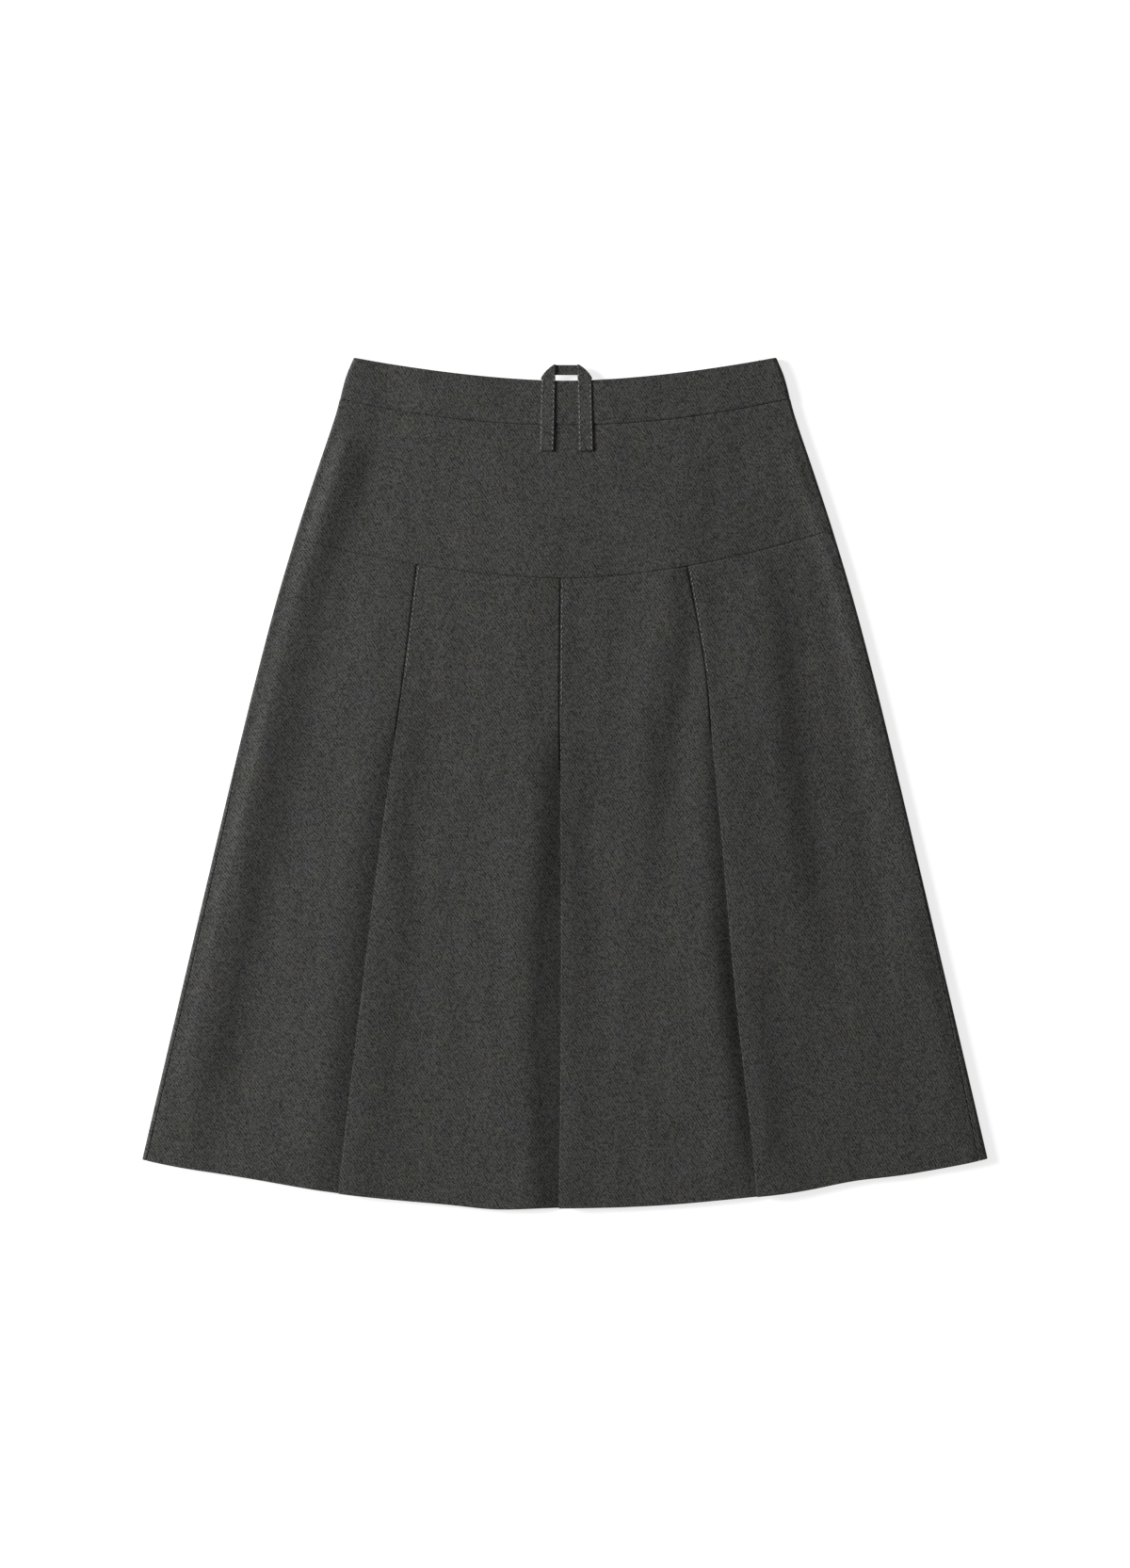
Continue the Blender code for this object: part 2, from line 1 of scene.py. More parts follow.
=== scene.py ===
"""Looks of the flat-laid pleated skirt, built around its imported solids.

Metres, in the frame of the solids: the back lies on z = 0, the front faces +Z, the waist points
to +Y. Each cloth piece is a thin closed shell on the form of its solid, with finer folds.
"""

import math
from collections import namedtuple

import bpy
import numpy as np
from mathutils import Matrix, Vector


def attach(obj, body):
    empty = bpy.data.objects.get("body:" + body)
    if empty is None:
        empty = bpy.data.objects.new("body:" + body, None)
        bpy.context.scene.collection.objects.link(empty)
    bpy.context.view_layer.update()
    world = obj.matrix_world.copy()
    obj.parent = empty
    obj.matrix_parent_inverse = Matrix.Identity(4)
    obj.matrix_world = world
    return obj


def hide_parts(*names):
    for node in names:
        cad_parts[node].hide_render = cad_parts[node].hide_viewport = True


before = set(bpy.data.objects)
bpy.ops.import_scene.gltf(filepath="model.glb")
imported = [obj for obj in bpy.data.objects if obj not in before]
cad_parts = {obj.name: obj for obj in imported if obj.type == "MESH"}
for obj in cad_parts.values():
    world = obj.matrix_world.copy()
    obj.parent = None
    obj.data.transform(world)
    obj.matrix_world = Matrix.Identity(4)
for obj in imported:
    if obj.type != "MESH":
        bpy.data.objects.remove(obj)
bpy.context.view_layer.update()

# Cloth
SKIRT_CLOTH = 0.0012
BAND_CLOTH = 0.0020
RIBBON_CLOTH = 0.0010
SEAM_GAP = 0.0003
FRONT_HALF_GAP, BACK_HALF_GAP = 0.00009, 0.00002  # half of what a sewn seam leaves open
WALL_SHARE = 0.65  # the cloth is this much of the solids' thickness
LAYER_PITCH = 0.0010  # between the three layers of a pleat
FRONT_LEVEL = 0.0060  # height of the cloth's middle on a plain panel
PLEAT_TOP_LEVEL = 0.0066  # and on a pleat's top layer
PLEAT_PUFF = 0.0022  # how much a free pleat rises beside its fold
PUFF_FLAT, PUFF_WIDTH = 0.005, 0.040
STITCHED_BOTTOM_LEVEL = 0.0047  # of a pleat's under layer where the pleat is stitched
SIDE_RADIUS = {-1: 0.0023, 1: 0.0027}
HIGHEST_LEVEL = 0.0098
SIDE_SLOPE = 0.016  # width over which a side roll slopes to the panel

# Heights at the centre line, and how far each edge rises towards the sides
WAIST_CENTRE, WAIST_RISE, WAIST_POWER = 0.3340, 0.0191, 1.7
BAND_SEAM_CENTRE, BAND_SEAM_RISE = 0.2972, 0.0219
YOKE_SEAM_CENTRE, YOKE_SEAM_RISE_LEFT, YOKE_SEAM_RISE_RIGHT = 0.1704, 0.0330, 0.0406
HEM_CENTRE, HEM_RISE = -0.3513, 0.0418
WAIST_HALF, BAND_SEAM_HALF, YOKE_SEAM_HALF, HEM_HALF = 0.1743, 0.1860, 0.2225, 0.3496
YOKE_SEAM_POWER = 1.77
HEM_WAVES = (  # place, half width, lift
    (-0.345, 0.045, -0.0018),
    (-0.255, 0.045, 0.0012),
    (-0.058, 0.030, -0.0021),
    (0.140, 0.045, 0.0009),
    (0.238, 0.035, 0.0028),
    (0.340, 0.030, -0.0010),
)

# Tables read as smooth curves, each row from a height
SIDE_OUTLINE = (  # half width of the silhouette
    (0.3521, 0.1760),
    (0.3370, 0.1822),
    (0.3062, 0.1903),
    (0.2594, 0.2060),
    (0.2130, 0.2212),
    (0.1502, 0.2399),
    (0.0878, 0.2563),
    (0.0254, 0.2716),
    (-0.0683, 0.2938),
    (-0.1931, 0.3231),
    (-0.3085, 0.3500),
)
SEAM_ON_EDGE = -0.0031  # inset of a side seam that runs just on the silhouette
LEFT_SEAM = (  # inset of the side seam from the top of the side's roll
    (0.3521, SEAM_ON_EDGE),
    (0.0600, SEAM_ON_EDGE),
    (-0.0140, 0.0004),
    (-0.0600, 0.0013),
    (-0.2900, 0.0013),
    (-0.3521, 0.0008),
)
RIGHT_SEAM = (
    (0.3521, SEAM_ON_EDGE),
    (0.0600, SEAM_ON_EDGE),
    (0.0050, -0.0026),
    (-0.1140, -0.0011),
    (-0.1910, 0.0009),
    (-0.2410, 0.0025),
    (-0.3521, 0.0058),
)
LEFT_PLEAT = (  # x of the shown fold
    (0.1850, -0.1220),
    (0.0878, -0.1338),
    (-0.0100, -0.1474),
    (-0.0880, -0.1580),
    (-0.1660, -0.1673),
    (-0.2440, -0.1769),
    (-0.3520, -0.1890),
)
CENTRE_PLEAT = (
    (0.1850, -0.0032),
    (0.0600, -0.0042),
    (0.0100, -0.0036),
    (-0.1460, -0.0032),
    (-0.2440, -0.0037),
    (-0.3520, -0.0050),
)
RIGHT_PLEAT = (
    (0.1850, 0.1010),
    (0.0963, 0.1166),
    (0.0290, 0.1225),
    (-0.0490, 0.1300),
    (-0.1270, 0.1367),
    (-0.2050, 0.1443),
    (-0.2830, 0.1533),
    (-0.3520, 0.1600),
)
LEFT_BOTTOM = (  # level of the under layer
    (0.1850, 0.0021),
    (-0.2200, 0.0022),
    (-0.3000, 0.0032),
    (-0.3520, 0.0040),
)
CENTRE_BOTTOM = (
    (0.1850, 0.0021),
    (-0.1000, 0.0017),
    (-0.3520, 0.0016),
)
RIGHT_BOTTOM = (
    (0.1850, 0.0038),
    (-0.1000, 0.0036),
    (-0.1600, 0.0030),
    (-0.2200, 0.0034),
    (-0.3520, 0.0042),
)
PUFF_START = 0.060  # length over which a pleat opens below its stitches
PLEAT_DEPTH_TOP, PLEAT_DEPTH_HEM = 0.030, 0.045
DIP_WIDTH, DIP_EDGE = 0.026, 0.00018  # where the dip before a fold starts and ends
STITCHED_SLOPE = 0.3  # share of the dip that slopes where the pleat is stitched
DIP_POWER = 1.6
FOLD_REACH = 0.00012  # how far the turn of a pressed fold bulges sideways
PRESSED, PRESSED_SHARE = 0.4, 0.2  # wall left at a pressed fold, and the width it grows over
MIDDLE_SINK = 0.25  # slope of a pleat's middle layer away from the shown edge
PLEAT_SHOULDER = 0.025  # width over which the layers' height fades into a panel
YOKE_SWELL = 0.060  # and the height over which it fades into the yoke
GRAIN_TURNS = (4.0, 2.0, 0.0, -1.0)  # degrees, of the four panels between the pleats

# Soft folds: top y, top x, bottom y, bottom x, half width, depth. A negative depth is a ridge.
MAIN_FOLDS = (
    (0.040, -0.257, -0.280, -0.347, 0.026, -0.0012),
    (0.265, -0.192, -0.235, -0.308, 0.015, -0.0012),
    (0.345, -0.148, 0.300, -0.150, 0.022, 0.0014),
    (-0.060, -0.030, -0.360, -0.032, 0.020, -0.0010),
    (0.165, -0.201, -0.335, -0.287, 0.015, 0.0006),
    (0.265, -0.153, -0.235, -0.266, 0.026, 0.0018),
    (0.040, -0.173, -0.280, -0.239, 0.026, 0.0012),
    (0.265, -0.096, -0.055, -0.122, 0.026, 0.0010),
    (0.215, -0.019, -0.285, -0.047, 0.026, -0.0008),
    (-0.040, 0.016, -0.360, 0.002, 0.026, 0.0009),
    (0.100, 0.023, -0.220, 0.013, 0.026, 0.0007),
    (-0.120, 0.113, -0.300, 0.146, 0.026, -0.0012),
    (0.040, 0.127, -0.280, 0.146, 0.026, -0.0015),
    (0.040, 0.165, -0.140, 0.176, 0.026, -0.0015),
    (0.165, 0.161, -0.155, 0.199, 0.015, -0.0013),
    (0.215, 0.190, -0.105, 0.245, 0.026, 0.0017),
    (0.215, 0.205, -0.105, 0.266, 0.015, 0.0010),
    (-0.120, 0.295, -0.300, 0.353, 0.026, -0.0012),
)
FINE_FOLDS = (
    (-0.120, -0.294, -0.300, -0.334, 0.009, 0.0006),
    (-0.040, -0.245, -0.360, -0.328, 0.009, -0.0004),
    (-0.200, -0.244, -0.290, -0.277, 0.026, 0.0010),
    (0.100, -0.243, -0.080, -0.270, 0.009, -0.0005),
    (0.265, -0.189, 0.175, -0.227, 0.026, -0.0009),
    (0.100, -0.199, 0.010, -0.216, 0.009, 0.0005),
    (0.265, -0.182, 0.175, -0.195, 0.015, -0.0008),
    (0.265, -0.160, 0.175, -0.194, 0.015, 0.0008),
    (0.100, -0.128, 0.010, -0.153, 0.005, -0.0005),
    (0.265, -0.125, 0.175, -0.130, 0.026, 0.0007),
    (0.040, -0.117, -0.280, -0.132, 0.015, 0.0006),
    (0.215, -0.034, 0.125, -0.051, 0.026, -0.0007),
    (-0.200, -0.028, -0.290, -0.012, 0.026, 0.0007),
    (-0.120, -0.015, -0.210, -0.016, 0.015, 0.0009),
    (0.100, -0.004, -0.080, -0.019, 0.009, -0.0005),
    (-0.040, 0.016, -0.220, 0.035, 0.015, 0.0007),
    (0.100, 0.067, -0.080, 0.064, 0.015, -0.0009),
    (0.040, 0.080, -0.140, 0.078, 0.015, 0.0005),
    (0.165, 0.087, 0.075, 0.083, 0.015, -0.0012),
    (0.215, 0.089, 0.125, 0.088, 0.026, -0.0010),
    (0.040, 0.099, -0.050, 0.093, 0.026, 0.0009),
    (0.100, 0.103, 0.010, 0.098, 0.015, 0.0015),
    (0.165, 0.079, -0.335, 0.137, 0.009, 0.0004),
    (0.215, 0.120, 0.125, 0.122, 0.026, 0.0009),
    (-0.040, 0.116, -0.220, 0.133, 0.009, -0.0006),
    (0.165, 0.112, -0.335, 0.151, 0.009, -0.0006),
    (-0.120, 0.135, -0.300, 0.153, 0.005, 0.0005),
    (0.265, 0.147, 0.175, 0.156, 0.026, 0.0011),
    (0.215, 0.167, 0.035, 0.217, 0.015, 0.0008),
    (0.100, 0.191, -0.080, 0.209, 0.015, 0.0012),
    (0.265, 0.197, 0.085, 0.261, 0.009, -0.0009),
    (0.265, 0.197, -0.055, 0.295, 0.009, -0.0010),
    (0.165, 0.211, -0.335, 0.301, 0.009, 0.0003),
)
FOLDS = MAIN_FOLDS + FINE_FOLDS
FOLD_FADE = 0.035  # length over which a fold fades past its ends
LOWEST_PANEL, LOWEST_COVER, LEVEL_EASE = 0.0022, 0.0043, 0.0005  # limits of the front's level
DENTS = (  # x, y, radius, depth: where the stitching pulls the cloth in
    (-0.1305, 0.0862, 0.0050, 0.0014),
    (0.1266, 0.0815, 0.0050, 0.0014),
    (-0.0020, 0.0640, 0.0040, 0.0006),
    (0.1030, 0.1745, 0.0040, 0.0008),
    (-0.1195, 0.1770, 0.0035, 0.0005),
)
RIPPLES = (  # length, direction in degrees, height, shift
    (0.031, 6.0, 0.00010, 0.3),
    (0.019, -9.0, 0.00006, 1.9),
    (0.047, 17.0, 0.00012, 4.1),
    (0.066, -24.0, 0.00014, 2.7),
    (0.024, 68.0, 0.00004, 5.2),
)
RIPPLE_BASE, RIPPLE_SWING = 0.6, 0.4  # ripples come and go in patches
RIPPLE_TURN_X, RIPPLE_TURN_Y = 5.0 / 9, 9.0 / 14  # radians of a patch in one ripple's length
SEAM_TROUGH, SEAM_TROUGH_WIDTH = 0.0004, 0.0012

# Soft troughs of the hidden back
BACK_FOLDS = (
    (0.240, -0.150, -0.290, -0.262, 0.014, 0.0006),
    (0.110, -0.104, -0.345, -0.168, 0.011, 0.0005),
    (0.200, -0.048, -0.180, -0.070, 0.012, 0.0006),
    (0.020, -0.012, -0.350, -0.006, 0.010, 0.0005),
    (0.250, 0.036, -0.080, 0.052, 0.012, 0.0006),
    (0.080, 0.098, -0.340, 0.132, 0.013, 0.0005),
    (0.210, 0.146, -0.240, 0.226, 0.012, 0.0006),
    (-0.060, 0.238, -0.310, 0.290, 0.010, 0.0004),
)

# Ribbon loop on the centre of the waistband
RIBBON_WIDTH = 0.0118
LOOP_FOOT_LEFT, LOOP_FOOT_RIGHT = -0.0151, 0.0175
LOOP_TOP_LEFT, LOOP_TOP_RIGHT = -0.0136, 0.0161
LOOP_FOOT_Y = 0.2757
LOOP_SHOULDER_Y = 0.3350
LOOP_TOP_Y = 0.3470
CROSS_STRIP_BOTTOM_Y = 0.3386
RIBBON_GAP, LOOP_STAND_OFF = 0.0001, 0.0006
RIBBON_SHARE = 0.7  # the ribbon is this much of its solid's thickness
SHOULDER_BULGE, BULGE_POWER = 0.0013, 6  # how each folded top corner bows outwards
LOOP_FOLD_PITCH = 0.0014
RIBBON_SHARES = (0.0, 0.02, 0.06, 0.14, 0.3, 0.5, 0.7, 0.86, 0.94, 0.98, 1.0)
UPRIGHT_STEPS, ACROSS_STEPS = 44, 14

# Stitches. A swing is how much the stitches of a seam vary, as a share or in metres.
SPINDLE_SIDES, SPINDLE_SINK = 6, 0.2  # sides of a stitch, and how far its ends sink, in widths
SPINDLE_PROFILE = ((0.1, 0.6), (0.3, 0.95), (0.7, 0.95), (0.9, 0.6))  # place, share of width
THREAD_LENGTH, THREAD_WIDTH, THREAD_STEP = 0.0021, 0.00055, 0.0043
THREAD_EDGE_INSET, THREAD_FOOT_INSET, THREAD_TOP_INSET = 0.0011, 0.0012, 0.004
THREAD_LIFT, THREAD_SLANT, SLANT_SWING = 0.00008, 0.00035, 0.00012
LENGTH_SWING, STEP_SWING = 0.12, 0.06
PLEAT_THREAD_LENGTH, PLEAT_THREAD_WIDTH, PLEAT_THREAD_STEP = 0.0024, 0.00046, 0.0042
PLEAT_THREAD_INSET, PLEAT_INSET_SWING, PLEAT_STEP_SWING = 0.0013, 0.0002, 0.08
PLEAT_THREAD_LOW_GAP, PLEAT_THREAD_HIGH_GAP = 0.003, 0.004

# Zip inside the wearer's left side seam
ZIP_LENGTH, ZIP_TOP_INSET = 0.190, 0.012
TAPE_WIDTH, TAPE_INSET = 0.012, 0.008
TAPE_CLOTH, TAPE_SHARE = 0.0010, 0.7
COIL_STEP, COIL_WIDTH, COIL_THICKNESS = 0.0014, 0.0034, 0.0008
COIL_LIFT, COIL_SLANT = 0.0001, 0.0003

# Steps of the shells
BODY_ROWS, YOKE_ROWS, BAND_ROWS = 150, 52, 16
ROLL_STEPS, PANEL_STEPS, DIP_STEPS, LAYER_STEPS, TURN_STEPS = 14, 30, 12, 5, 7
TOP_LAYER_STEPS, YOKE_STEPS, FLAT_STEPS = 14, 150, 70
ROLL_CROWDING, FOLD_CROWDING = 1.5, 1.6  # powers that crowd columns near a seam or a fold
EDGE_STEPS = (0.0, 0.12, 0.35, 0.7, 1.3, 2.1)  # rows next to a cut edge, in thicknesses
RIM_SHARE = 0.2  # wall left at the rim of a cut edge
HEIGHT_PASSES = 5  # rounds in which a column's places and heights settle


def smooth(fraction):
    """A soft step from 0 to 1."""
    fraction = np.clip(fraction, 0.0, 1.0)
    return fraction * fraction * (3.0 - 2.0 * fraction)


def blend(start, end, fraction):
    return start + (end - start) * fraction


class Curve:
    """A table of falling heights read as a smooth curve through its rows."""

    def __init__(self, table):
        rows = np.array(table[::-1])
        self.heights, self.places = rows[:, 0], rows[:, 1]
        inner = (self.places[2:] - self.places[:-2]) / (self.heights[2:] - self.heights[:-2])
        first = (self.places[1] - self.places[0]) / (self.heights[1] - self.heights[0])
        last = (self.places[-1] - self.places[-2]) / (self.heights[-1] - self.heights[-2])
        self.slopes = np.concatenate([[first], inner, [last]])

    def __call__(self, height):
        height = np.asarray(height, dtype=float)
        low = np.clip(np.searchsorted(self.heights, height) - 1, 0, len(self.heights) - 2)
        span = self.heights[low + 1] - self.heights[low]
        t = (height - self.heights[low]) / span
        u = np.clip(t, 0.0, 1.0)
        start, end = self.places[low], self.places[low + 1]
        value = (2 * u**3 - 3 * u**2 + 1) * start + (3 * u**2 - 2 * u**3) * end
        value += span * (u**3 - 2 * u**2 + u) * self.slopes[low]
        value += span * (u**3 - u**2) * self.slopes[low + 1]
        return value + (t - u) * (end - start)


side_outline = Curve(SIDE_OUTLINE)
side_seams = {-1: Curve(LEFT_SEAM), 1: Curve(RIGHT_SEAM)}
Pleat = namedtuple("Pleat", "fold stitched_to bottom")  # stitched_to: height of the last stitch
pleats = (Pleat(Curve(LEFT_PLEAT), 0.086, Curve(LEFT_BOTTOM)),
          Pleat(Curve(CENTRE_PLEAT), 0.063, Curve(CENTRE_BOTTOM)),
          Pleat(Curve(RIGHT_PLEAT), 0.090, Curve(RIGHT_BOTTOM)))


def waist_height(x):
    return WAIST_CENTRE + WAIST_RISE * (np.abs(x) / WAIST_HALF) ** WAIST_POWER


def band_seam_height(x):
    return BAND_SEAM_CENTRE + BAND_SEAM_RISE * (x / BAND_SEAM_HALF) ** 2


def yoke_seam_height(x):
    rise = np.where(x < 0, YOKE_SEAM_RISE_LEFT, YOKE_SEAM_RISE_RIGHT)
    return YOKE_SEAM_CENTRE + rise * (np.abs(x) / YOKE_SEAM_HALF) ** YOKE_SEAM_POWER


def hem_height(x):
    height = HEM_CENTRE + HEM_RISE * (x / HEM_HALF) ** 2
    for place, half_width, lift in HEM_WAVES:
        height = height + lift * np.exp(-(((x - place) / half_width) ** 2))
    return height


def down_the_pleats(y):
    return (YOKE_SEAM_CENTRE - y) / (YOKE_SEAM_CENTRE - HEM_CENTRE)


def pleat_depth(y):
    return blend(PLEAT_DEPTH_TOP, PLEAT_DEPTH_HEM, np.clip(down_the_pleats(y), 0.0, 1.0))


def freedom(pleat, y):
    """0 where a pleat is stitched down, 1 where its fold is fully free."""
    return smooth((pleat.stitched_to - y) / PUFF_START)


def bottom_level(pleat, x, y):
    """Level of a pleat's under layer: higher where it is stitched, and below the two over it."""
    level = blend(STITCHED_BOTTOM_LEVEL, pleat.bottom(y), freedom(pleat, y))
    over = front_level(np.maximum(x, pleat.fold(y) + FOLD_REACH), y)
    return np.minimum(level, over - 2 * LAYER_PITCH)


def fold_relief(x, y, folds):
    """Height that soft folds add at a place."""
    relief = np.zeros(np.broadcast(x, y).shape)
    for top_y, top_x, bottom_y, bottom_x, half_width, depth in folds:
        line = blend(top_x, bottom_x, np.clip((top_y - y) / (top_y - bottom_y), 0.0, 1.0))
        beyond = np.maximum(np.maximum(y - top_y, bottom_y - y), 0.0)
        fade = 1.0 - smooth(beyond / FOLD_FADE)
        relief -= depth * fade * np.exp(-(((x - line) / half_width) ** 2))
    return relief


def small_relief(x, y):
    """Ripples, the dents at the ends of stitching and the troughs along the two seams."""
    relief = np.zeros(np.broadcast(x, y).shape)
    for length, degrees, height, shift in RIPPLES:
        across = x * math.cos(math.radians(degrees)) + y * math.sin(math.radians(degrees))
        turn = (RIPPLE_TURN_X * x + RIPPLE_TURN_Y * y) / length
        patch = RIPPLE_BASE + RIPPLE_SWING * np.sin(turn + shift)
        relief += height * patch * np.sin(2 * math.pi * across / length + shift)
    for place_x, place_y, radius, depth in DENTS:
        away = ((x - place_x) ** 2 + (y - place_y) ** 2) / radius**2
        relief -= depth * np.exp(-away)
    for seam in (band_seam_height(x), yoke_seam_height(x)):
        relief -= SEAM_TROUGH * np.exp(-(((y - seam) / SEAM_TROUGH_WIDTH) ** 2))
    return relief


def pleat_cover(x, y):
    """Share and height of a pleat's top layer: 1 over the layers, 0 on the panel past them."""
    share = np.zeros(np.broadcast(x, y).shape)
    height = np.full(share.shape, PLEAT_TOP_LEVEL)
    above = y > yoke_seam_height(x) - SEAM_GAP
    for pleat in pleats:
        past = x - pleat.fold(y)
        right = 1.0 - smooth((past - pleat_depth(y)) / PLEAT_SHOULDER)
        left = np.where(above, 1.0 - smooth(-past / PLEAT_SHOULDER), 0.0)
        here = np.where(past >= 0.0, right, left)
        puff = PLEAT_PUFF * freedom(pleat, y) * (1.0 - smooth((past - PUFF_FLAT) / PUFF_WIDTH))
        height = np.where(here > share, PLEAT_TOP_LEVEL + puff, height)
        share = np.maximum(share, here)
    return share, height


def front_level(x, y):
    """Height of the front's middle surface, away from the sides and the pleats' dips."""
    above_seam = np.maximum(y - yoke_seam_height(x), 0.0)
    share, height = pleat_cover(x, y)
    share = share * (1.0 - smooth(above_seam / YOKE_SWELL))
    level = blend(FRONT_LEVEL, height, share) + fold_relief(x, y, FOLDS)
    lowest = blend(LOWEST_PANEL, LOWEST_COVER, share)
    above = level - lowest
    level = lowest + (above + np.hypot(above, LEVEL_EASE)) / 2
    below = HIGHEST_LEVEL - level
    return HIGHEST_LEVEL - (below + np.hypot(below, LEVEL_EASE)) / 2 + small_relief(x, y)


# One column of a section: place(y) is its x, surface(x, y) its (z, outward x, outward z),
# grain(y) what the cloth's own sideways coordinate adds to x, and share how much of the wall's
# thickness it has.
Column = namedtuple("Column", "place surface grain share", defaults=(1.0,))


def no_shift(y):
    return np.zeros_like(y)


def roll_column(sign, thickness, inset):
    """A column of the side roll. inset(y) is measured from the top of the roll, inwards."""
    floor_level = thickness / 2
    radius = SIDE_RADIUS[sign]

    def centre(y):
        return side_outline(y) - radius - thickness / 2

    def angle(y):
        return np.clip(-inset(y) / radius, 0.0, math.pi)

    def under(y):
        return np.maximum(-inset(y) - math.pi * radius, 0.0)

    def place(y):
        inwards = np.maximum(inset(y), 0.0) + under(y)
        return sign * (centre(y) - inwards + radius * np.sin(angle(y)))

    def surface(x, y):
        turn = angle(y)
        top = floor_level + 2 * radius
        slope = smooth(np.maximum(inset(y), 0.0) / SIDE_SLOPE)
        level = np.where(inset(y) > 0.0, blend(top, front_level(x, y), slope),
                         floor_level + radius * (1.0 + np.cos(turn)))
        return level, sign * np.sin(turn), np.cos(turn)

    def grain(y):
        return sign * (centre(y) - inset(y)) - place(y)

    return Column(place, surface, grain)


def panel_surface(x, y):
    return front_level(x, y), np.zeros_like(y), np.ones_like(y)


def panel_column(place):
    """A column of plain panel at place(y)."""
    return Column(place, panel_surface, no_shift)


def front_roll(sign, thickness):
    """Columns from the side seam inwards, closer together near the seam."""
    edge = EDGE_STEPS[-1] * thickness
    insets = [lambda y, d=step * thickness: side_seams[sign](y) + SEAM_GAP / 2 + d
              for step in EDGE_STEPS]
    insets += [lambda y, s=(k / ROLL_STEPS) ** ROLL_CROWDING:
               blend(side_seams[sign](y) + SEAM_GAP / 2 + edge, SIDE_SLOPE, s)
               for k in range(1, ROLL_STEPS + 1)]
    return [roll_column(sign, thickness, inset) for inset in insets]


def spread(start, end, steps):
    """Panel columns between the places start(y) and end(y), both left out."""
    return [panel_column(lambda y, s=k / steps: blend(start(y), end(y), s))
            for k in range(1, steps)]


def dip_columns(pleat):
    """The panel sloping down until it lies under the next pleat's fold."""
    columns = []
    for distance in np.linspace(DIP_WIDTH, DIP_EDGE, DIP_STEPS):

        def place(y, d=distance):
            return pleat.fold(y) - d

        def surface(x, y, s=(1.0 - distance / DIP_WIDTH) ** DIP_POWER):
            sloped = s * blend(STITCHED_SLOPE, 1.0, freedom(pleat, y))
            level = blend(front_level(x, y), bottom_level(pleat, x, y), sloped)
            return level, np.zeros_like(y), np.ones_like(y)

        columns.append(Column(place, surface, no_shift))
    return columns


def pleat_columns(pleat):
    """The Z of one knife pleat: under layer, hidden fold, middle layer, shown fold, top layer."""
    radius = LAYER_PITCH / 2

    def shown(y):
        return pleat.fold(y) + PRESSED * WALL_SHARE * SKIRT_CLOTH / 2 + FOLD_REACH

    def hidden(y):
        return pleat.fold(y) + pleat_depth(y) - SKIRT_CLOTH / 2 - radius

    def middle(x, y):
        below_top = front_level(x, y) - LAYER_PITCH - MIDDLE_SINK * (x - shown(y))
        return np.maximum(lowest(x, y) + LAYER_PITCH, below_top)

    def lowest(x, y):
        return bottom_level(pleat, x, y)

    def flat(share, level, facing):
        return Column(lambda y: blend(shown(y), hidden(y), share),
                      lambda x, y: (level(x, y), np.zeros_like(y), np.full_like(y, facing)),
                      no_shift)

    def turn(axis, base, top, reach, angle, facing):
        """A column round a fold from base to top; reach is how far it bulges, with its side."""
        side = math.copysign(1.0, reach)
        out_x, out_z = facing * side * math.sin(angle), -facing * math.cos(angle)
        rise = (1.0 - math.cos(angle)) / 2
        return Column(lambda y: axis(y) + reach * math.sin(angle),
                      lambda x, y: (blend(base(axis(y), y), top(axis(y), y), rise),
                                    np.full_like(y, out_x), np.full_like(y, out_z)),
                      no_shift, PRESSED)

    def top_layer(share):
        return Column(lambda y: blend(shown(y), pleat.fold(y) + pleat_depth(y), share),
                      panel_surface, no_shift,
                      blend(PRESSED, 1.0, min(share / PRESSED_SHARE, 1.0)))

    columns = [flat(k / LAYER_STEPS, lowest, 1.0) for k in range(LAYER_STEPS + 1)]
    angles = [math.pi * k / TURN_STEPS for k in range(1, TURN_STEPS)]
    columns += [turn(hidden, lowest, middle, radius, angle, -1.0) for angle in angles]
    columns += [flat((1 - k / LAYER_STEPS) ** FOLD_CROWDING, middle, -1.0)
                for k in range(LAYER_STEPS + 1)]
    columns += [turn(shown, middle, front_level, -FOLD_REACH, angle, 1.0) for angle in angles]
    columns += [top_layer((k / TOP_LAYER_STEPS) ** FOLD_CROWDING)
                for k in range(TOP_LAYER_STEPS + 1)]
    return columns


def pleated_section():
    """Columns of the pleated front, from the left side seam to the right one."""
    columns = front_roll(-1, SKIRT_CLOTH)
    turns = []
    start = columns[-1].place
    for pleat, degrees in zip(pleats, GRAIN_TURNS):
        columns += spread(start, lambda y, p=pleat: p.fold(y) - DIP_WIDTH, PANEL_STEPS)
        columns += dip_columns(pleat)
        turns += [degrees] * (len(columns) + LAYER_STEPS - len(turns))
        columns += pleat_columns(pleat)
        start = columns[-1].place
    end = front_roll(1, SKIRT_CLOTH)
    columns += spread(start, end[-1].place, PANEL_STEPS) + end[::-1]
    turns += [GRAIN_TURNS[-1]] * (len(columns) - len(turns))
    return columns, turns


def plain_section(thickness):
    """Columns of a front piece without pleats."""
    start, end = front_roll(-1, thickness), front_roll(1, thickness)
    return start + spread(start[-1].place, end[-1].place, YOKE_STEPS) + end[::-1]


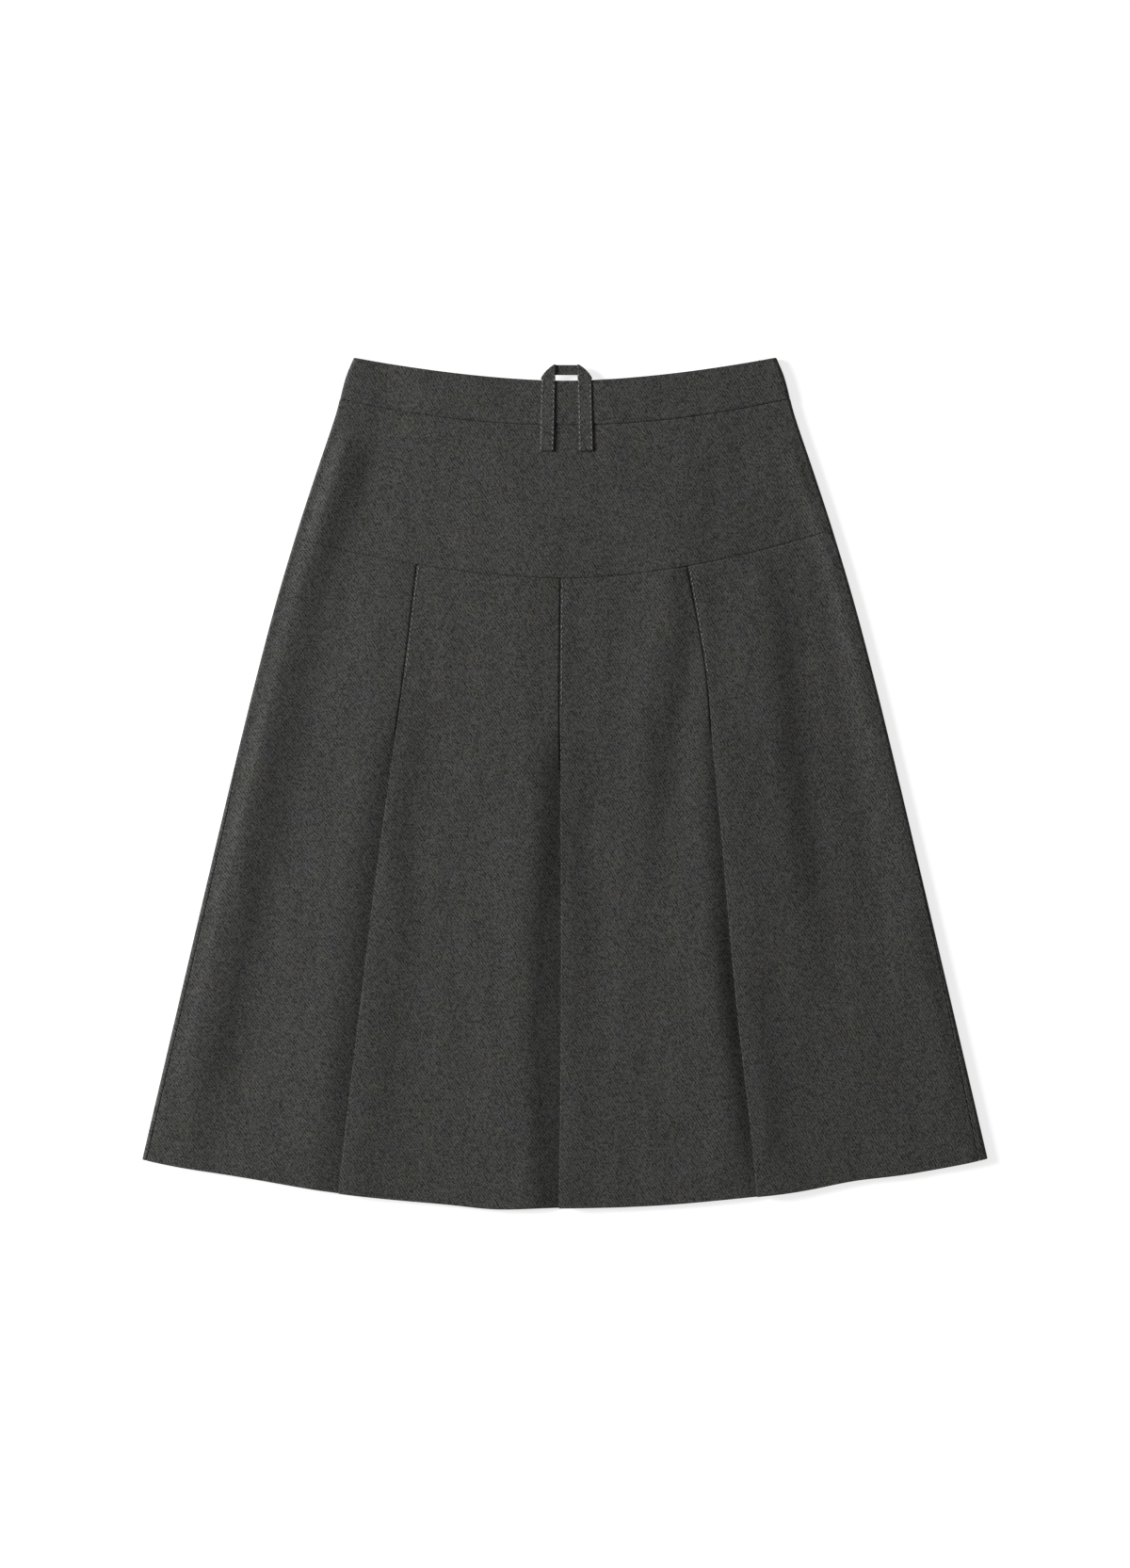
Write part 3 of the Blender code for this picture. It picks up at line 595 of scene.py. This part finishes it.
def back_section(thickness):
    """Columns of a back piece: round the left side, flat on the floor, round the right side."""
    sides = []
    edge = EDGE_STEPS[-1] * thickness
    for sign in (-1, 1):
        flat_start = -math.pi * SIDE_RADIUS[sign]
        insets = [lambda y, d=step * thickness, s=sign: side_seams[s](y) - SEAM_GAP / 2 - d
                  for step in EDGE_STEPS]
        insets += [lambda y, f=k / ROLL_STEPS, s=sign, end=flat_start:
                   blend(side_seams[s](y) - SEAM_GAP / 2 - edge, end, f)
                   for k in range(1, ROLL_STEPS + 1)]
        sides.append([roll_column(sign, thickness, inset) for inset in insets])
    left, right = sides

    def floor_surface(x, y):
        fade = smooth((BAND_SEAM_CENTRE - y) / FOLD_FADE)
        level = thickness / 2 - fade * fold_relief(x, y, BACK_FOLDS)
        return level, np.zeros_like(y), -np.ones_like(y)

    flat = [Column(lambda y, f=k / FLAT_STEPS: blend(left[-1].place(y), right[-1].place(y), f),
                   floor_surface, no_shift)
            for k in range(1, FLAT_STEPS)]
    return left + flat + right[::-1]


def row_shares(rows, length, thickness):
    """Shares of a piece's height, with rows close together at its two cut edges."""
    edge = np.array(EDGE_STEPS) * thickness / length
    inner = np.linspace(edge[-1], 1.0 - edge[-1], rows - 2 * len(edge) + 3)[1:-1]
    return np.concatenate([edge, inner, 1.0 - edge[::-1]])


def edge_roundness(distance, thickness):
    """Share of the full thickness near a cut edge, so that the edge is round."""
    inside = np.clip(distance / (thickness / 2), 0.0, 1.0)
    return np.maximum(np.sqrt(1.0 - (1.0 - inside) ** 2), RIM_SHARE)


def shell(name, columns, top_edge, bottom_edge, rows, thickness, turns=None):
    """A closed shell of cloth between two edges, with round rims.

    turns gives each column's turn of the cloth's grain, in degrees.
    """
    length = float(top_edge(0.0) - bottom_edge(0.0))
    shares = row_shares(rows, length, thickness)
    count = (len(shares), len(columns))
    x, y, z, out_x, out_z, grain = (np.zeros(count) for _ in range(6))
    for j, column in enumerate(columns):
        height = blend(top_edge(0.0), bottom_edge(0.0), shares)
        for _ in range(HEIGHT_PASSES):
            place = column.place(height)
            height = blend(top_edge(place), bottom_edge(place), shares)
        x[:, j], y[:, j] = place, height
        z[:, j], out_x[:, j], out_z[:, j] = column.surface(place, height)
        grain[:, j] = column.grain(height) + place
    down = np.minimum(shares, 1.0 - shares) * length
    across = np.array([column.share for column in columns])
    steps = np.array(EDGE_STEPS) * thickness
    across[:len(steps)] *= edge_roundness(steps, thickness)
    across[-len(steps):] *= edge_roundness(steps, thickness)[::-1]
    half = WALL_SHARE * thickness / 2 * edge_roundness(down, thickness)[:, None] * across[None, :]
    middle = np.stack([x, y, z], axis=-1)
    outward = np.stack([out_x, np.zeros(count), out_z], axis=-1)
    angles = np.radians(turns if turns else np.zeros(len(columns)))[None, :]
    cloth = np.stack([grain * np.cos(angles) + y * np.sin(angles),
                      y * np.cos(angles) - grain * np.sin(angles), np.zeros(count)], axis=-1)
    return wall_object(name, middle, outward, half, cloth)


def wall_object(name, middle, outward, half, cloth):
    """A closed wall from a grid of middle points, outward directions and half thicknesses."""
    size = half.size
    outer = middle + outward * half[..., None]
    inner = middle - outward * half[..., None]
    index = np.arange(size).reshape(half.shape)
    back = index + size
    quads = [
        np.stack([index[:-1, :-1], index[1:, :-1], index[1:, 1:], index[:-1, 1:]], axis=-1),
        np.stack([back[:-1, :-1], back[:-1, 1:], back[1:, 1:], back[1:, :-1]], axis=-1),
    ]
    ring = np.concatenate([index[0, :], index[1:, -1], index[-1, -2::-1], index[-2:0:-1, 0]])
    after = np.roll(ring, -1)
    quads.append(np.stack([ring, after, after + size, ring + size], axis=-1))
    faces = np.concatenate([q.reshape(-1, 4) for q in quads])
    points = np.concatenate([outer.reshape(-1, 3), inner.reshape(-1, 3)])
    mesh = bpy.data.meshes.new(name)
    mesh.from_pydata(points.tolist(), [], faces.tolist())
    mesh.update()
    if mesh_volume(points, faces) < 0:
        mesh.flip_normals()
    mesh.shade_smooth()
    layer = mesh.attributes.new("cloth", "FLOAT_VECTOR", "POINT")
    coordinates = np.concatenate([cloth.reshape(-1, 3), cloth.reshape(-1, 3)])
    layer.data.foreach_set("vector", coordinates.astype(np.float32).ravel())
    return linked(name, mesh)


def linked(name, data):
    """A new object of the scene with this mesh, light or camera."""
    thing = bpy.data.objects.new(name, data)
    bpy.context.scene.collection.objects.link(thing)
    return thing


def strip_halves(middle, width, wall, thickness):
    """Half thicknesses of a narrow strip with round edges."""
    shares = np.array(RIBBON_SHARES)
    rim = edge_roundness(np.minimum(shares, 1.0 - shares) * width, thickness)
    return np.full(middle.shape[:2], wall / 2) * rim[None, :]


def mesh_volume(points, faces):
    a, b, c, d = (points[faces[:, k]] for k in range(4))
    first = np.einsum("ij,ij->i", a, np.cross(b, c))
    second = np.einsum("ij,ij->i", a, np.cross(c, d))
    return float((first + second).sum() / 6)


def shifted(edge, distance):
    return lambda x: edge(x) + distance


# Materials
TWILL_PITCH = 0.0021  # between two twill lines
TWILL_ANGLE = math.radians(31)  # of the direction across the twill lines
TWILL_WANDER = 0.0014  # how far a twill line strays
THREAD_PITCH = 0.0012  # between two bumps along a twill line
THREAD_SHIFT = 0.5  # of the bumps from one twill line to the next

# Sizes of the cloth's random marks, in marks a metre
WANDER_SCALE, BLOTCH_SCALE, HUE_SCALE = 160.0, 70.0, 52.0
FLOAT_SCALE = (1350.0, 880.0, 1.0)
FIBRE_SCALE = (1500.0, 1200.0, 1.0)
FLECK_SCALE = (780.0, 600.0, 1.0)
SLUB_SCALE = (110.0, 700.0, 1.0)
SECOND_HUE_SCALE = (85.0, 70.0, 3.0)

# How much each mark changes the cloth's brightness, then its base, least value, tone and tints
LINE_WEIGHT, THREAD_WEIGHT, YARN_WEIGHT = 1.2, 0.06, 1.3
FIBRE_WEIGHT, SLUB_WEIGHT, BLOTCH_WEIGHT = 0.8, 0.3, 0.05
FLECK_BASE, BRIGHTNESS, DARKEST = 0.55, 0.95, 0.15
SKIRT_TONE, RIBBON_TONE, RIBBON_LINES = 0.0429, 0.048, 0.8
WARM_TINT, COOL_TINT = (1.09, 1.03, 0.79), (0.91, 0.96, 1.09)
GREEN_TINT, ROSE_TINT = (0.96, 1.05, 0.87), (1.04, 0.97, 1.00)
HUE_CONTRAST = 1.6

# Low relief and gloss of the cloth
LINE_RELIEF, FLECK_RELIEF, THREAD_RELIEF = 0.6, 1.2, 0.15
TWILL_BUMP, TWILL_BUMP_STRENGTH = 0.00022, 0.13
TWILL_ROUGHNESS, ROUGHNESS_SWING = 0.88, 0.12

# Thread, tape and metal
SPECK_CONTRAST, SPECK_ROUGHNESS = 0.6, 0.2
SPECK_BUMP, SPECK_BUMP_STRENGTH = 0.0001, 0.4


class Nodes:
    """Short ways to add and join shader nodes of one material."""

    def __init__(self, name):
        self.material = bpy.data.materials.new(name)
        self.material.use_nodes = True
        self.tree = self.material.node_tree
        self.shader = self.tree.nodes["Principled BSDF"]

    def add(self, kind, settings=(), **inputs):
        node = self.tree.nodes.new(kind)
        for key, value in settings:
            setattr(node, key, value)
        for key, value in inputs.items():
            self.join(value, node.inputs[key.replace("_", " ")])
        return node

    def join(self, value, socket):
        if isinstance(value, bpy.types.NodeSocket):
            self.tree.links.new(value, socket)
        else:
            socket.default_value = value

    def math(self, operation, a, b=0.0):
        node = self.tree.nodes.new("ShaderNodeMath")
        node.operation = operation
        self.join(a, node.inputs[0])
        self.join(b, node.inputs[1])
        return node.outputs[0]

    def noise(self, vector, scale, detail=2.0, roughness=0.5):
        node = self.add("ShaderNodeTexNoise", Vector=vector, Scale=scale, Detail=detail,
                        Roughness=roughness)
        return node.outputs["Fac"]

    def centred(self, value):
        return self.math("SUBTRACT", value, 0.5)

    def strong(self, value):
        """The same noise with more contrast."""
        return self.math("ADD", self.math("MULTIPLY", self.centred(value), HUE_CONTRAST), 0.5)

    def mix(self, factor, tone, first, second):
        """A tone in two tints, mixed by a factor."""
        node = self.add("ShaderNodeMix", [("data_type", "RGBA")])
        self.join(factor, node.inputs["Factor"])
        for socket, tint in zip(node.inputs[6:8], (first, second)):
            socket.default_value = (*(tone * share for share in tint), 1.0)
        return node.outputs[2]

    def vector_math(self, operation, first, second=None):
        node = self.tree.nodes.new("ShaderNodeVectorMath")
        node.operation = operation
        self.join(first, node.inputs[0])
        if second is not None:
            self.join(second, node.inputs[1])
        return node

    def stretched(self, vector, scale):
        return self.vector_math("MULTIPLY", vector, scale).outputs[0]

    def along(self, vector, direction):
        return self.vector_math("DOT_PRODUCT", vector, direction).outputs["Value"]

    def stretched_noise(self, vector, scale, detail=2.0, roughness=0.5):
        return self.noise(self.stretched(vector, scale), 1.0, detail, roughness)

    def paint(self, color, brightness):
        """Give the shader a colour times a brightness."""
        shade = self.vector_math("SCALE", color)
        self.join(brightness, shade.inputs["Scale"])
        self.join(shade.outputs[0], self.shader.inputs["Base Color"])

    def emboss(self, height, distance, strength):
        bump = self.add("ShaderNodeBump", Height=height, Distance=distance, Strength=strength)
        self.join(bump.outputs["Normal"], self.shader.inputs["Normal"])


def twill_material(name, tone, line_strength=1.0):
    """Charcoal wool twill: steep diagonal lines, light flecks, slubs and a soft nap."""
    n = Nodes(name)
    cloth = n.add("ShaderNodeAttribute", [("attribute_name", "cloth")]).outputs["Vector"]
    across = (math.cos(TWILL_ANGLE), math.sin(TWILL_ANGLE), 0.0)
    down = (-math.sin(TWILL_ANGLE), math.cos(TWILL_ANGLE), 0.0)
    wander = n.noise(cloth, WANDER_SCALE)
    place = n.math("ADD", n.along(cloth, across), n.math("MULTIPLY", wander, TWILL_WANDER))
    phase = n.math("MULTIPLY", place, 2 * math.pi / TWILL_PITCH)
    line = n.math("ADD", n.math("MULTIPLY", n.math("SINE", phase), 0.5), 0.5)
    run = n.math("MULTIPLY", n.along(cloth, down), 2 * math.pi / THREAD_PITCH)
    thread = n.math("SINE", n.math("ADD", run, n.math("MULTIPLY", phase, THREAD_SHIFT)))
    thread = n.math("MULTIPLY", thread, line)
    float_place = n.add("ShaderNodeCombineXYZ", X=n.along(cloth, across), Y=n.along(cloth, down))
    floats = n.add("ShaderNodeTexVoronoi", [("voronoi_dimensions", "2D")], Randomness=0.8,
                   Scale=1.0, Vector=n.stretched(float_place.outputs[0], FLOAT_SCALE))
    yarn = n.centred(n.add("ShaderNodeSeparateColor", Color=floats.outputs["Color"]).outputs[0])
    fibre = n.centred(n.stretched_noise(cloth, FIBRE_SCALE, roughness=0.6))
    fleck = n.centred(n.stretched_noise(cloth, FLECK_SCALE, roughness=0.6))
    slub = n.centred(n.stretched_noise(cloth, SLUB_SCALE))
    blotch = n.centred(n.noise(cloth, BLOTCH_SCALE, 3.0))

    broken = n.math("MULTIPLY", n.centred(line), n.math("ADD", fleck, FLECK_BASE))
    value = n.math("MULTIPLY", broken, LINE_WEIGHT * line_strength)
    for part, weight in ((thread, THREAD_WEIGHT * line_strength), (yarn, YARN_WEIGHT),
                         (fibre, FIBRE_WEIGHT), (slub, SLUB_WEIGHT), (blotch, BLOTCH_WEIGHT)):
        value = n.math("ADD", value, n.math("MULTIPLY", part, weight))
    value = n.math("MAXIMUM", n.math("ADD", value, BRIGHTNESS), DARKEST)
    warmth = n.mix(n.strong(n.noise(cloth, HUE_SCALE, 3.0)), tone, WARM_TINT, COOL_TINT)
    greenness = n.mix(n.strong(n.stretched_noise(cloth, SECOND_HUE_SCALE)),
                      tone, GREEN_TINT, ROSE_TINT)
    both = n.vector_math("ADD", warmth, greenness).outputs[0]
    n.paint(both, n.math("MULTIPLY", value, 0.5))

    relief = n.math("MULTIPLY", line, LINE_RELIEF)
    for part, weight in ((fleck, FLECK_RELIEF), (thread, THREAD_RELIEF)):
        relief = n.math("ADD", relief, n.math("MULTIPLY", part, weight))
    n.emboss(relief, TWILL_BUMP, TWILL_BUMP_STRENGTH)
    rough = n.math("ADD", n.math("MULTIPLY", fibre, ROUGHNESS_SWING), TWILL_ROUGHNESS)
    n.join(rough, n.shader.inputs["Roughness"])
    n.shader.inputs["Specular IOR Level"].default_value = 0.20
    n.shader.inputs["Sheen Weight"].default_value = 0.05
    n.shader.inputs["Sheen Roughness"].default_value = 0.5
    return n.material


def plain_material(name, color, roughness, metallic, grain):
    """A fine-grained finish for thread, tape and metal."""
    n = Nodes(name)
    place = n.add("ShaderNodeTexCoord").outputs["Object"]
    speck = n.noise(place, grain, 3.0, 0.6)
    value = n.math("MULTIPLY", speck, SPECK_CONTRAST)
    n.paint(color, n.math("ADD", value, 1.0 - SPECK_CONTRAST / 2))
    rough = n.math("MULTIPLY", speck, SPECK_ROUGHNESS)
    n.join(n.math("ADD", rough, roughness - SPECK_ROUGHNESS / 2), n.shader.inputs["Roughness"])
    n.emboss(speck, SPECK_BUMP, SPECK_BUMP_STRENGTH)
    n.shader.inputs["Metallic"].default_value = metallic
    return n.material


# Cloth pieces
skirt_twill = twill_material("skirt_twill", SKIRT_TONE)
above_band_seam = shifted(band_seam_height, FRONT_HALF_GAP)
below_band_seam = shifted(band_seam_height, -FRONT_HALF_GAP)
above_yoke_seam = shifted(yoke_seam_height, FRONT_HALF_GAP)
below_yoke_seam = shifted(yoke_seam_height, -FRONT_HALF_GAP)
above_back_seam = shifted(band_seam_height, BACK_HALF_GAP)
below_back_seam = shifted(band_seam_height, -BACK_HALF_GAP)

waistband_front = shell("waistband_front_cloth", plain_section(BAND_CLOTH),
                        waist_height, above_band_seam, BAND_ROWS, BAND_CLOTH)
waistband_back = shell("waistband_back_cloth", back_section(BAND_CLOTH),
                       waist_height, above_back_seam, BAND_ROWS, BAND_CLOTH)
yoke_front = shell("yoke_front_cloth", plain_section(SKIRT_CLOTH),
                   below_band_seam, above_yoke_seam, YOKE_ROWS, SKIRT_CLOTH)
front_columns, front_turns = pleated_section()
skirt_front = shell("skirt_front_cloth", front_columns,
                    below_yoke_seam, hem_height, BODY_ROWS, SKIRT_CLOTH, front_turns)
skirt_back = shell("skirt_back_cloth", back_section(SKIRT_CLOTH),
                   below_back_seam, hem_height, BODY_ROWS, SKIRT_CLOTH)

cloth_pieces = {
    "waistband_front": waistband_front,
    "waistband_back": waistband_back,
    "yoke_front": yoke_front,
    "skirt_front": skirt_front,
    "skirt_back": skirt_back,
}
for node, piece in cloth_pieces.items():
    piece.data.materials.append(skirt_twill)
    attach(piece, "root")
    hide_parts(node)


def front_face(x, y):
    """Height of the outer face of the band or the yoke at one place."""
    thickness = np.where(y > band_seam_height(x), BAND_CLOTH, SKIRT_CLOTH)
    return float(front_level(np.array(x), np.array(y)) + WALL_SHARE * thickness / 2)


def loop_level(x, y):
    """Middle of the ribbon of an upright, which stands off more towards its turned-in foot."""
    foot = front_face(x, LOOP_FOOT_Y)
    band = front_face(x, BAND_SEAM_CENTRE + 2 * BAND_CLOTH)
    climb = float(smooth((y - LOOP_FOOT_Y) / (BAND_SEAM_CENTRE - LOOP_FOOT_Y)))
    below_top = (LOOP_TOP_Y - y) / (LOOP_TOP_Y - LOOP_FOOT_Y)
    lift = RIBBON_GAP + RIBBON_SHARE * RIBBON_CLOTH / 2 + LOOP_STAND_OFF * below_top
    return blend(foot, band, climb) + lift


def upright_rows(sign, foot_x, top_x):
    """Rows of one upright from its foot to its 45 degree fold, then round the fold."""
    rows = []
    out = np.array((sign, 1.0, 0.0)) / math.sqrt(2.0)
    for k in range(UPRIGHT_STEPS + 1):
        t = k / UPRIGHT_STEPS
        bulge = 4 * SHOULDER_BULGE * t**BULGE_POWER * out
        x = blend(foot_x, top_x, t)
        outer_y = blend(LOOP_FOOT_Y, LOOP_SHOULDER_Y, t)
        inner_y = blend(LOOP_FOOT_Y, LOOP_TOP_Y, t)
        outer = np.array((x + sign * RIBBON_WIDTH / 2, outer_y, loop_level(x, outer_y)))
        inner = np.array((x - sign * RIBBON_WIDTH / 2, inner_y, loop_level(x, inner_y)))
        rows.append([(blend(outer, inner, s) + bulge * s * (1.0 - s), (0.0, 0.0, 1.0))
                     for s in RIBBON_SHARES])
    up = np.array((0.0, 0.0, 1.0))
    radius = LOOP_FOLD_PITCH / 2
    edge = [point for point, _ in rows[-1]]
    for step in range(1, TURN_STEPS + 1):
        angle = math.pi * step / TURN_STEPS
        turn = out * math.sin(angle) + up * math.cos(angle)
        rows.append([(p + turn * radius - up * radius, turn) for p in edge])
    return rows


def loop_piece():
    """One ribbon: up, folded at 45 degrees, across behind, folded at 45 degrees, and down."""
    left = upright_rows(-1, LOOP_FOOT_LEFT, LOOP_TOP_LEFT)
    right = upright_rows(1, LOOP_FOOT_RIGHT, LOOP_TOP_RIGHT)
    inner_left, inner_right = left[-1][-1][0], right[-1][-1][0]
    across = []
    for k in range(ACROSS_STEPS + 1):
        x, _, z = blend(inner_left, inner_right, k / ACROSS_STEPS)
        heights = [blend(CROSS_STRIP_BOTTOM_Y, LOOP_TOP_Y, s) for s in RIBBON_SHARES]
        across.append([((x, y, z), (0.0, 0.0, -1.0)) for y in heights])
    grid = left[:-1] + across + right[-2::-1]
    middle = np.array([[point for point, _ in line] for line in grid])
    outward = np.array([[out for _, out in line] for line in grid])
    half = strip_halves(middle, RIBBON_WIDTH, RIBBON_SHARE * RIBBON_CLOTH, RIBBON_CLOTH)
    return wall_object("waist_loop_cloth", middle, outward, half, middle * (1.0, 1.0, 0.0))


def spindles(name, stitches, width):
    """Short thread stitches, each a round spindle from a start to an end."""
    points, faces = [], []
    sides, rings = SPINDLE_SIDES, len(SPINDLE_PROFILE)
    for start, end in stitches:
        start, end = np.array(start), np.array(end)
        axis = (end - start) / np.linalg.norm(end - start)
        side = np.cross(axis, (0.0, 0.0, 1.0))
        side /= np.linalg.norm(side)
        lift = np.cross(side, axis)
        first = len(points)
        points.append(start - lift * width * SPINDLE_SINK)
        for along, share in SPINDLE_PROFILE:
            centre = blend(start, end, along)
            for k in range(sides):
                angle = 2 * math.pi * k / sides
                offset = side * math.cos(angle) + lift * math.sin(angle)
                points.append(centre + offset * width / 2 * share)
        points.append(end - lift * width * SPINDLE_SINK)
        last = len(points) - 1
        for k in range(sides):
            m = (k + 1) % sides
            faces.append((first, first + 1 + m, first + 1 + k))
            for ring in range(rings - 1):
                low = first + 1 + ring * sides
                faces.append((low + k, low + m, low + sides + m, low + sides + k))
            low = first + 1 + (rings - 1) * sides
            faces.append((last, low + k, low + m))
    mesh = bpy.data.meshes.new(name)
    mesh.from_pydata([tuple(p) for p in points], [], faces)
    mesh.update()
    mesh.shade_smooth()
    return linked(name, mesh)


def loop_stitches():
    """Edge stitches of the two uprights, slanted a little, with an uneven pitch."""
    stitches = []
    for sign, foot_x, top_x in ((-1, LOOP_FOOT_LEFT, LOOP_TOP_LEFT),
                                (1, LOOP_FOOT_RIGHT, LOOP_TOP_RIGHT)):
        for edge in (-1, 1):
            highest = LOOP_SHOULDER_Y if edge == sign else LOOP_TOP_Y - THREAD_TOP_INSET
            y = LOOP_FOOT_Y + THREAD_FOOT_INSET
            count = 0
            while y + THREAD_LENGTH < highest:
                along = (y - LOOP_FOOT_Y) / (highest - LOOP_FOOT_Y)
                x = blend(foot_x, top_x, along) + edge * (RIBBON_WIDTH / 2 - THREAD_EDGE_INSET)
                z = loop_level(x, y) + RIBBON_SHARE * RIBBON_CLOTH / 2 + THREAD_LIFT
                slant = THREAD_SLANT + SLANT_SWING * math.sin(2.3 * count + edge)
                length = THREAD_LENGTH * (1.0 + LENGTH_SWING * math.sin(3.1 * count + sign))
                stitches.append(((x + slant, y, z), (x - slant, y + length, z)))
                y += THREAD_STEP * (1.0 + STEP_SWING * math.sin(1.7 * count + 2 * edge))
                count += 1
    return spindles("loop_thread", stitches, THREAD_WIDTH)


def pleat_stitches():
    """Stitches close to the folded edge on the stitched part of each pleat."""
    stitches = []
    for index, pleat in enumerate(pleats):
        y = pleat.stitched_to + PLEAT_THREAD_LOW_GAP
        count = 0
        while y < yoke_seam_height(float(pleat.fold(y))) - PLEAT_THREAD_HIGH_GAP:
            inset = PLEAT_THREAD_INSET + PLEAT_INSET_SWING * math.sin(1.9 * count + index)
            ends = []
            for end_y in (y, y + PLEAT_THREAD_LENGTH):
                x = float(pleat.fold(end_y)) + inset
                level = float(front_level(np.array(x), np.array(end_y)))
                ends.append((x, end_y, level + WALL_SHARE * SKIRT_CLOTH / 2))
            stitches.append(tuple(ends))
            y += PLEAT_THREAD_STEP * (1.0 + PLEAT_STEP_SWING * math.sin(2.1 * count + index))
            count += 1
    return spindles("pleat_thread", stitches, PLEAT_THREAD_WIDTH)


def tape_place(y, inset):
    """A place inside the right side, at an inset from its silhouette."""
    return float(side_outline(y)) - TAPE_INSET - inset


def zip_tape_piece():
    """The tape along the inside of the side seam: a thin strip of the solid's width."""
    top = waist_height(WAIST_HALF) - ZIP_TOP_INSET
    level = BAND_CLOTH + SEAM_GAP + TAPE_CLOTH / 2
    heights = np.linspace(top, top - ZIP_LENGTH, UPRIGHT_STEPS)
    middle = np.array([[(tape_place(y, TAPE_WIDTH * s), y, level) for s in RIBBON_SHARES]
                       for y in heights])
    outward = np.broadcast_to((0.0, 0.0, 1.0), middle.shape)
    half = strip_halves(middle, TAPE_WIDTH, TAPE_SHARE * TAPE_CLOTH, TAPE_CLOTH)
    return wall_object("zip_tape_cloth", middle, outward, half, middle * (1.0, 1.0, 0.0))


def zip_coil():
    """The closed coil: short rounds across the middle of the tape."""
    top = waist_height(WAIST_HALF) - ZIP_TOP_INSET
    level = BAND_CLOTH + SEAM_GAP + (1.0 + TAPE_SHARE) * TAPE_CLOTH / 2 + COIL_LIFT
    rounds = []
    for k in range(1, int(ZIP_LENGTH / COIL_STEP)):
        y = top - COIL_STEP * k
        ends = [tape_place(y, TAPE_WIDTH / 2 + side * COIL_WIDTH / 2) for side in (-1, 1)]
        rounds.append(((ends[0], y, level), (ends[1], y - COIL_SLANT, level)))
    return spindles("zip_coil", rounds, COIL_THICKNESS)


# Loop, thread and zip
ribbon_twill = twill_material("ribbon_twill", RIBBON_TONE, RIBBON_LINES)
thread_finish = plain_material("thread_finish", (0.23, 0.23, 0.225), 0.6, 0.0, 2500.0)
waist_loop = loop_piece()
waist_loop.data.materials.append(ribbon_twill)
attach(waist_loop, "root")
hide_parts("waist_loop")
for piece, slot in ((loop_stitches(), "loop_ribbon"), (pleat_stitches(), "skirt_cloth")):
    piece.data.materials.append(thread_finish)
    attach(piece, "root")
tape_finish = plain_material("tape_finish", (0.030, 0.030, 0.030), 0.8, 0.0, 1400.0)
coil_finish = plain_material("coil_finish", (0.050, 0.050, 0.050), 0.4, 0.0, 900.0)
slider_finish = plain_material("slider_finish", (0.10, 0.10, 0.10), 0.35, 1.0, 300.0)
zip_tape = zip_tape_piece()
zip_tape.data.materials.append(tape_finish)
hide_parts("zip_tape")
coil = zip_coil()
coil.data.materials.append(coil_finish)
for piece in (zip_tape, coil):
    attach(piece, "root")
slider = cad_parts["zip_slider"]
slider.data.materials.clear()
slider.data.materials.append(slider_finish)

# Floor, light and camera
METRES_PER_PIXEL = 0.00078
PHOTO_HEIGHT = 1665
LENS, SENSOR = 100.0, 36.0
VIEW_HEIGHT = PHOTO_HEIGHT * METRES_PER_PIXEL
CLOTH_TOP = 0.005  # height at which the scale holds
FLOOR_SIZE, FLOOR_LEVEL = 12.0, -0.0002
FLOOR_GLOW = 0.74  # keeps the paper white, with only a faint cast shadow
KEY_PLACE, KEY_SIZE, KEY_POWER = (-4.2, 1.1, 2.0), 1.66, 433.0
SKY_STRENGTH = 0.22


def add_floor():
    bpy.ops.mesh.primitive_plane_add(size=FLOOR_SIZE, location=(0.0, 0.0, FLOOR_LEVEL))
    floor = bpy.context.object
    floor.name = "floor"
    material = bpy.data.materials.new("floor_paper")
    material.use_nodes = True
    shader = material.node_tree.nodes["Principled BSDF"]
    shader.inputs["Base Color"].default_value = (0.45, 0.45, 0.45, 1.0)
    shader.inputs["Roughness"].default_value = 0.9
    shader.inputs["Specular IOR Level"].default_value = 0.1
    shader.inputs["Emission Color"].default_value = (1.0, 1.0, 1.0, 1.0)
    shader.inputs["Emission Strength"].default_value = FLOOR_GLOW
    floor.data.materials.append(material)


def add_area_light(name, place, size, power):
    light = bpy.data.lights.new(name, "AREA")
    light.shape = "SQUARE"
    light.size = size
    light.energy = power
    lamp = linked(name, light)
    lamp.location = place
    lamp.rotation_mode = "QUATERNION"
    lamp.rotation_quaternion = (-Vector(place)).to_track_quat("-Z", "Y")


def add_camera():
    data = bpy.data.cameras.new("camera")
    data.lens = LENS
    data.sensor_width = SENSOR
    camera = linked("camera", data)
    camera.location = (0.0, 0.0, CLOTH_TOP + VIEW_HEIGHT * LENS / SENSOR)
    bpy.context.scene.camera = camera


def add_sky():
    world = bpy.data.worlds.new("world")
    bpy.context.scene.world = world
    world.use_nodes = True
    background = world.node_tree.nodes["Background"]
    background.inputs["Color"].default_value = (1.0, 1.0, 1.0, 1.0)
    background.inputs["Strength"].default_value = SKY_STRENGTH


add_floor()
add_area_light("key", KEY_PLACE, KEY_SIZE, KEY_POWER)
add_sky()
bpy.context.scene.view_settings.view_transform = "Standard"
add_camera()
